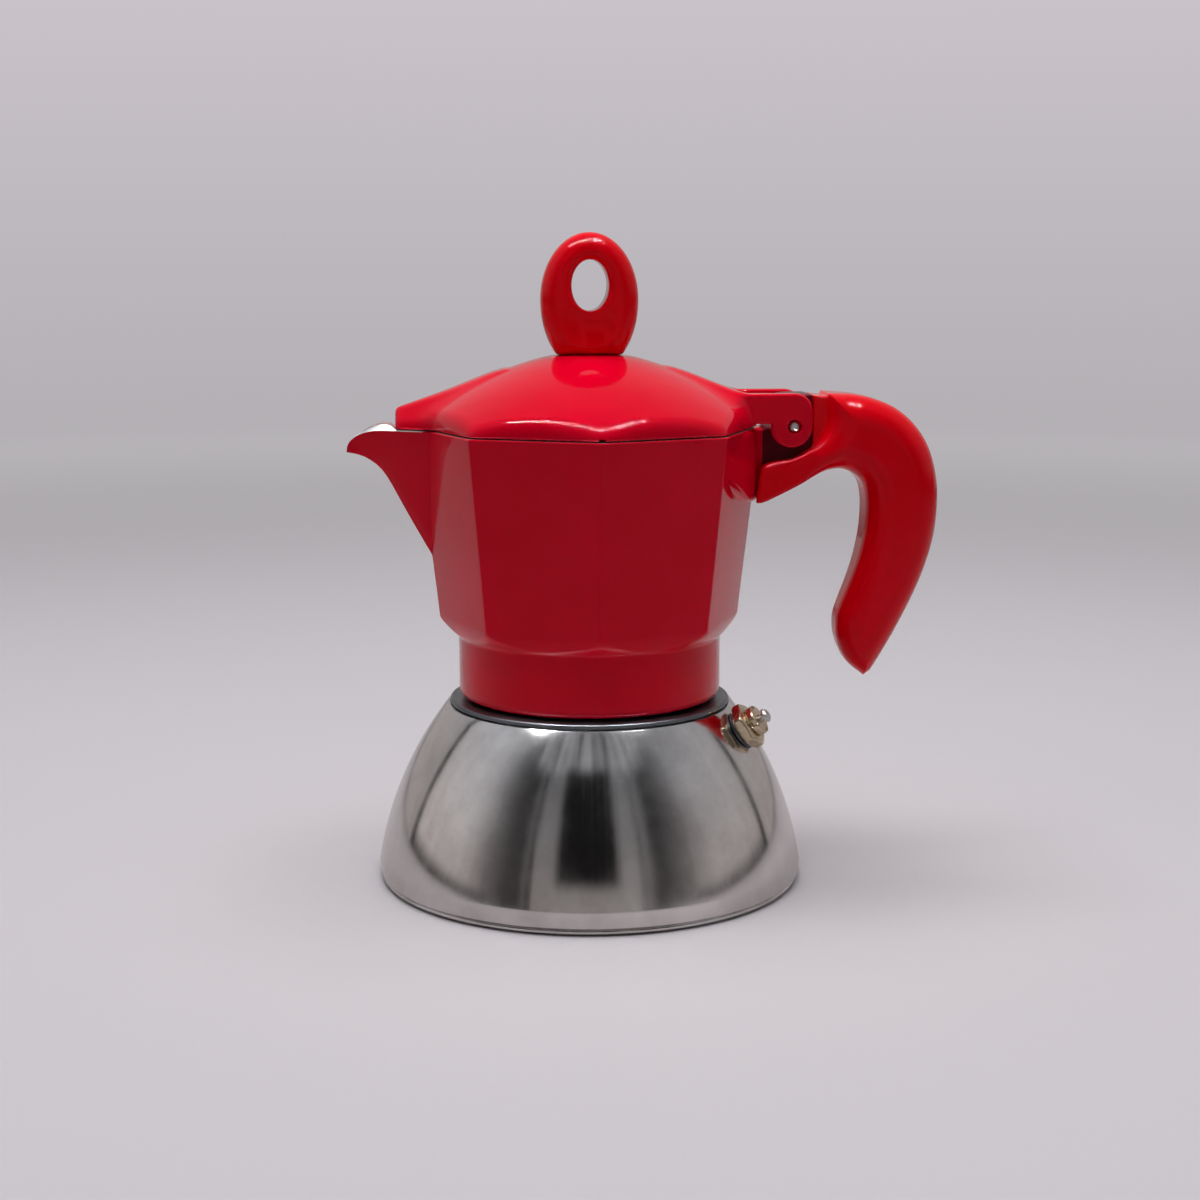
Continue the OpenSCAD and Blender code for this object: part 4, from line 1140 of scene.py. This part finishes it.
KEPT = {
    "boiler_liner": CAST,
    # The washer takes the near-black metal as painted shade under the valve's hexagon
    "valve_washer": DARK_METAL_PAINTED_SHADE,
    "valve_spring": PIN,
    "valve_seal": RUBBER,
    "funnel_stem": ALUMINIUM,
    "funnel_strainer": ALUMINIUM,
    "filter_plate": ALUMINIUM,
    "handle_pin": PIN,
    "knob_screw": PIN,
    "knob_washer": PIN,
}
for node, material in KEPT.items():
    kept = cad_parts[node]
    for slot in kept.material_slots:
        slot.material = material

# ---------------- floor, backdrop and light


def sweep_part(name, profile, material, **seen):
    """Surface of an open (r, z) profile turned round the Z axis, as part of the studio."""
    points, faces = [], []
    count, sides = len(profile), 96
    for i in range(sides):
        a = 2 * math.pi * i / sides
        points += [(r * math.cos(a), r * math.sin(a), z) for r, z in profile]
    for i in range(sides):
        after = (i + 1) % sides
        for k in range(i * count, (i + 1) * count - 1):
            ahead = k + (after - i) * count
            faces.append([k, ahead, ahead + 1, k + 1])
    obj = make_piece(name, points, faces, [material])
    weld(obj, 0.1)
    for key, value in seen.items():
        setattr(obj, key, value)


FLOOR_R, CURVE_R, WALL_TOP = 1200.0, 500.0, 1500.0
FLOOR_LIT = (0.46, 0.43, 0.44, 1)
FLOOR_SEEN = ((0.55, 0.525, 0.555, 1), (0.59, 0.565, 0.595, 1))
# The far floor and the wall's foot glow darker and the wall's top brighter: painted shade and light in
# the backdrop the camera sees
FLOOR_FAR = (0.56, 0.54, 0.565, 1)
WALL_LIT = (0.3, 0.29, 0.3, 1)
WALL_FOOT = (0.455, 0.435, 0.46, 1)
WALL_HIGH = (0.66, 0.61, 0.66, 1)


def seen_only(s, shade, share):
    """The camera sees this shade of the backdrop, while the object is lit by its plain surface."""
    glow = s.node("Emission", {"Color": shade, "Strength": 1.0})
    seen = s.math("MULTIPLY", s.node("LightPath").outputs["Is Camera Ray"], share)
    mixed = s.node("MixShader", {0: seen, 1: s.shader.outputs[0], 2: glow.outputs[0]})
    s.links.new(mixed.outputs[0], s.nodes["Material Output"].inputs["Surface"])


def studio():
    """Pale floor that rises in a curve to a pale wall all round."""
    s = Surface("pale_floor", Roughness=0.6, Specular_IOR_Level=0.0)
    patch = s.noise(1.6, 2.0)
    seen = s.blend(patch, *FLOOR_SEEN)
    s.wire("Base Color", s.blend(s.node("LightPath").outputs["Is Camera Ray"], FLOOR_LIT, seen))
    s.bump((s.noise(220.0, 3.0), 0.00003))
    place = s.node("SeparateXYZ", {0: s.place})
    x, y = place.outputs[0], place.outputs[1]
    reach = s.math("SQRT", s.math("ADD", s.product(x, x), s.product(y, y)))
    # Painted shade: the floor the camera sees darkens with distance towards the wall's foot
    shade = s.blend(s.span(reach, 0.35, 1.2, 0.0, 1.0), FLOOR_FAR, WALL_FOOT)
    seen_only(s, shade, s.step(reach, 0.72, 0.4))
    sweep_part("floor", [(0, 0), (60, 0), (200, 0), (500, 0), (FLOOR_R, 0)], s.material)

    s = Surface("pale_wall", Roughness=0.9, Specular_IOR_Level=0.0)
    s.shader.inputs["Base Color"].default_value = WALL_LIT
    height = s.node("SeparateXYZ", {0: s.place}).outputs[2]
    # Painted shade and light: the wall the camera sees is darker at its foot and brighter higher up
    shade = s.blend(s.span(height, 0.0, 0.6, 0.0, 1.0), WALL_FOOT, WALL_HIGH)
    seen_only(s, shade, 1.0)
    turns = np.linspace(0, math.pi / 2, 16)
    curve = [(FLOOR_R + CURVE_R * math.sin(a), CURVE_R * (1 - math.cos(a))) for a in turns]
    sweep_part("wall", curve + [(FLOOR_R + CURVE_R, WALL_TOP)], s.material, visible_glossy=False)


def area_light(name, place, aim, width, height, power):
    """Soft rectangle of light, not seen in the gloss."""
    data = bpy.data.lights.new(name, "AREA")
    data.shape = "RECTANGLE"
    data.size, data.size_y = width, height
    data.energy = power
    light = bpy.data.objects.new(name, data)
    light.location = place
    light.rotation_euler = (Vector(aim) - Vector(place)).to_track_quat("-Z", "Y").to_euler()
    light.visible_glossy = False
    bpy.context.scene.collection.objects.link(light)


def bulb_light(name, place, radius, power):
    """One small bright lamp of a strip, seen only as a dot in the gloss."""
    data = bpy.data.lights.new(name, "POINT")
    data.shadow_soft_size = radius
    data.energy = power
    light = bpy.data.objects.new(name, data)
    light.location = place
    light.visible_camera = False
    light.visible_diffuse = False
    bpy.context.scene.collection.objects.link(light)


def tent():
    """World: the inside of a light tent, with bright side walls and a front panel with a dark opening.
    Directions are in degrees: round from the front, and up from the floor."""
    world = bpy.data.worlds.new("light_tent")
    world.use_nodes = True
    w = Nodes(world.node_tree)
    way = w.node("SeparateXYZ", {0: w.nodes.new("ShaderNodeTexCoord").outputs["Generated"]})
    x, y, z = way.outputs[0], way.outputs[1], way.outputs[2]
    turn = w.math("DEGREES", w.math("ARCTAN2", x, w.math("MULTIPLY", y, -1.0)))
    rise = w.math("DEGREES", w.math("ARCSINE", z))
    side = w.math("ABSOLUTE", w.math("ADD", turn, 5.0))

    lengthways = w.node("CombineXYZ", {0: w.product(turn, 0.2), 1: w.product(rise, 0.01)})
    streaks = w.noise(1.0, 2.0, 0.6, lengthways.outputs[0])
    light = 0.40
    # Masks and levels: side walls, gaps beside the front panel, front panel, roof's edge, roof,
    # streaks along the roof's edge, dark opening, line along the floor, and three seams
    layers = (
        (w.band(side, 68, 116, 26, 1.5), w.span(turn, -90, 90, 0.56, 0.42)),
        (w.band(side, 32, 60, 7, 20), 0.045),
        (w.band(turn, -37, 25, 2), w.span(rise, 0, 46, 0.30, 0.17)),
        (w.step(rise, 52, 8), 0.30),
        (w.step(rise, 72, 9), 0.08),
        (
            w.product(w.band(turn, -52, 40, 8), w.band(rise, 47, 66, 4)),
            w.span(streaks, 0.38, 0.62, 0.10, 0.46),
        ),
        (w.product(w.band(turn, -23, 12, 2.5), w.band(rise, 10, 49, 3)), 0.012),
        (w.product(w.band(side, 50, 118, 8, 1), w.band(rise, -5, 2.5, 1.5, 2.5)), 0.1),
        (w.product(w.band(turn, -38.5, -35.5, 0.6), w.band(rise, -2, 46, 2)), 0.05),
        (w.product(w.band(turn, 24, 26.5, 0.6), w.band(rise, -2, 46, 2)), 0.05),
        (w.product(w.band(side, 114, 118, 0.8), w.band(rise, -2, 40, 2)), 0.05),
    )
    for mask, level in layers:
        rest = w.product(light, w.math("SUBTRACT", 1.0, mask))
        light = w.math("ADD", rest, w.product(mask, level))
    light = w.product(light, w.span(streaks, 0.3, 0.7, 0.9, 1.1))
    warm = w.span(rise, 8, 52, 0.0, 1.0)
    mirrored = w.blend(warm, (1.0, 0.925, 0.91, 1), (0.90, 0.935, 1.0, 1))
    mirrored = w.node("VectorMath", {0: mirrored, "Scale": light}, operation="SCALE").outputs[0]
    glossy = w.node("LightPath").outputs["Is Glossy Ray"]
    colour = w.blend(glossy, (0.13, 0.125, 0.13, 1), mirrored)
    w.links.new(colour, w.nodes["Background"].inputs["Color"])
    bpy.context.scene.world = world


studio()
tent()
area_light("overhead", (0.0, 0.02, 0.95), (0, 0, 0.05), 0.9, 0.7, 10.6)
for side, side_x in (("left", -0.85), ("right", 0.85)):
    area_light(side, (side_x, -0.35, 0.35), (0, 0, 0.06), 0.35, 0.6, 0.35)
BULB_X, BULB_STEP, BULB_Z = -0.34, 0.05, 0.62
for row_y in (-0.17, -0.12, -0.07):
    for bulb in range(13):
        bulb_light("bulb", (BULB_X + BULB_STEP * bulb, row_y, BULB_Z), 0.005, 1.1)
bpy.context.scene.view_settings.view_transform = "Standard"
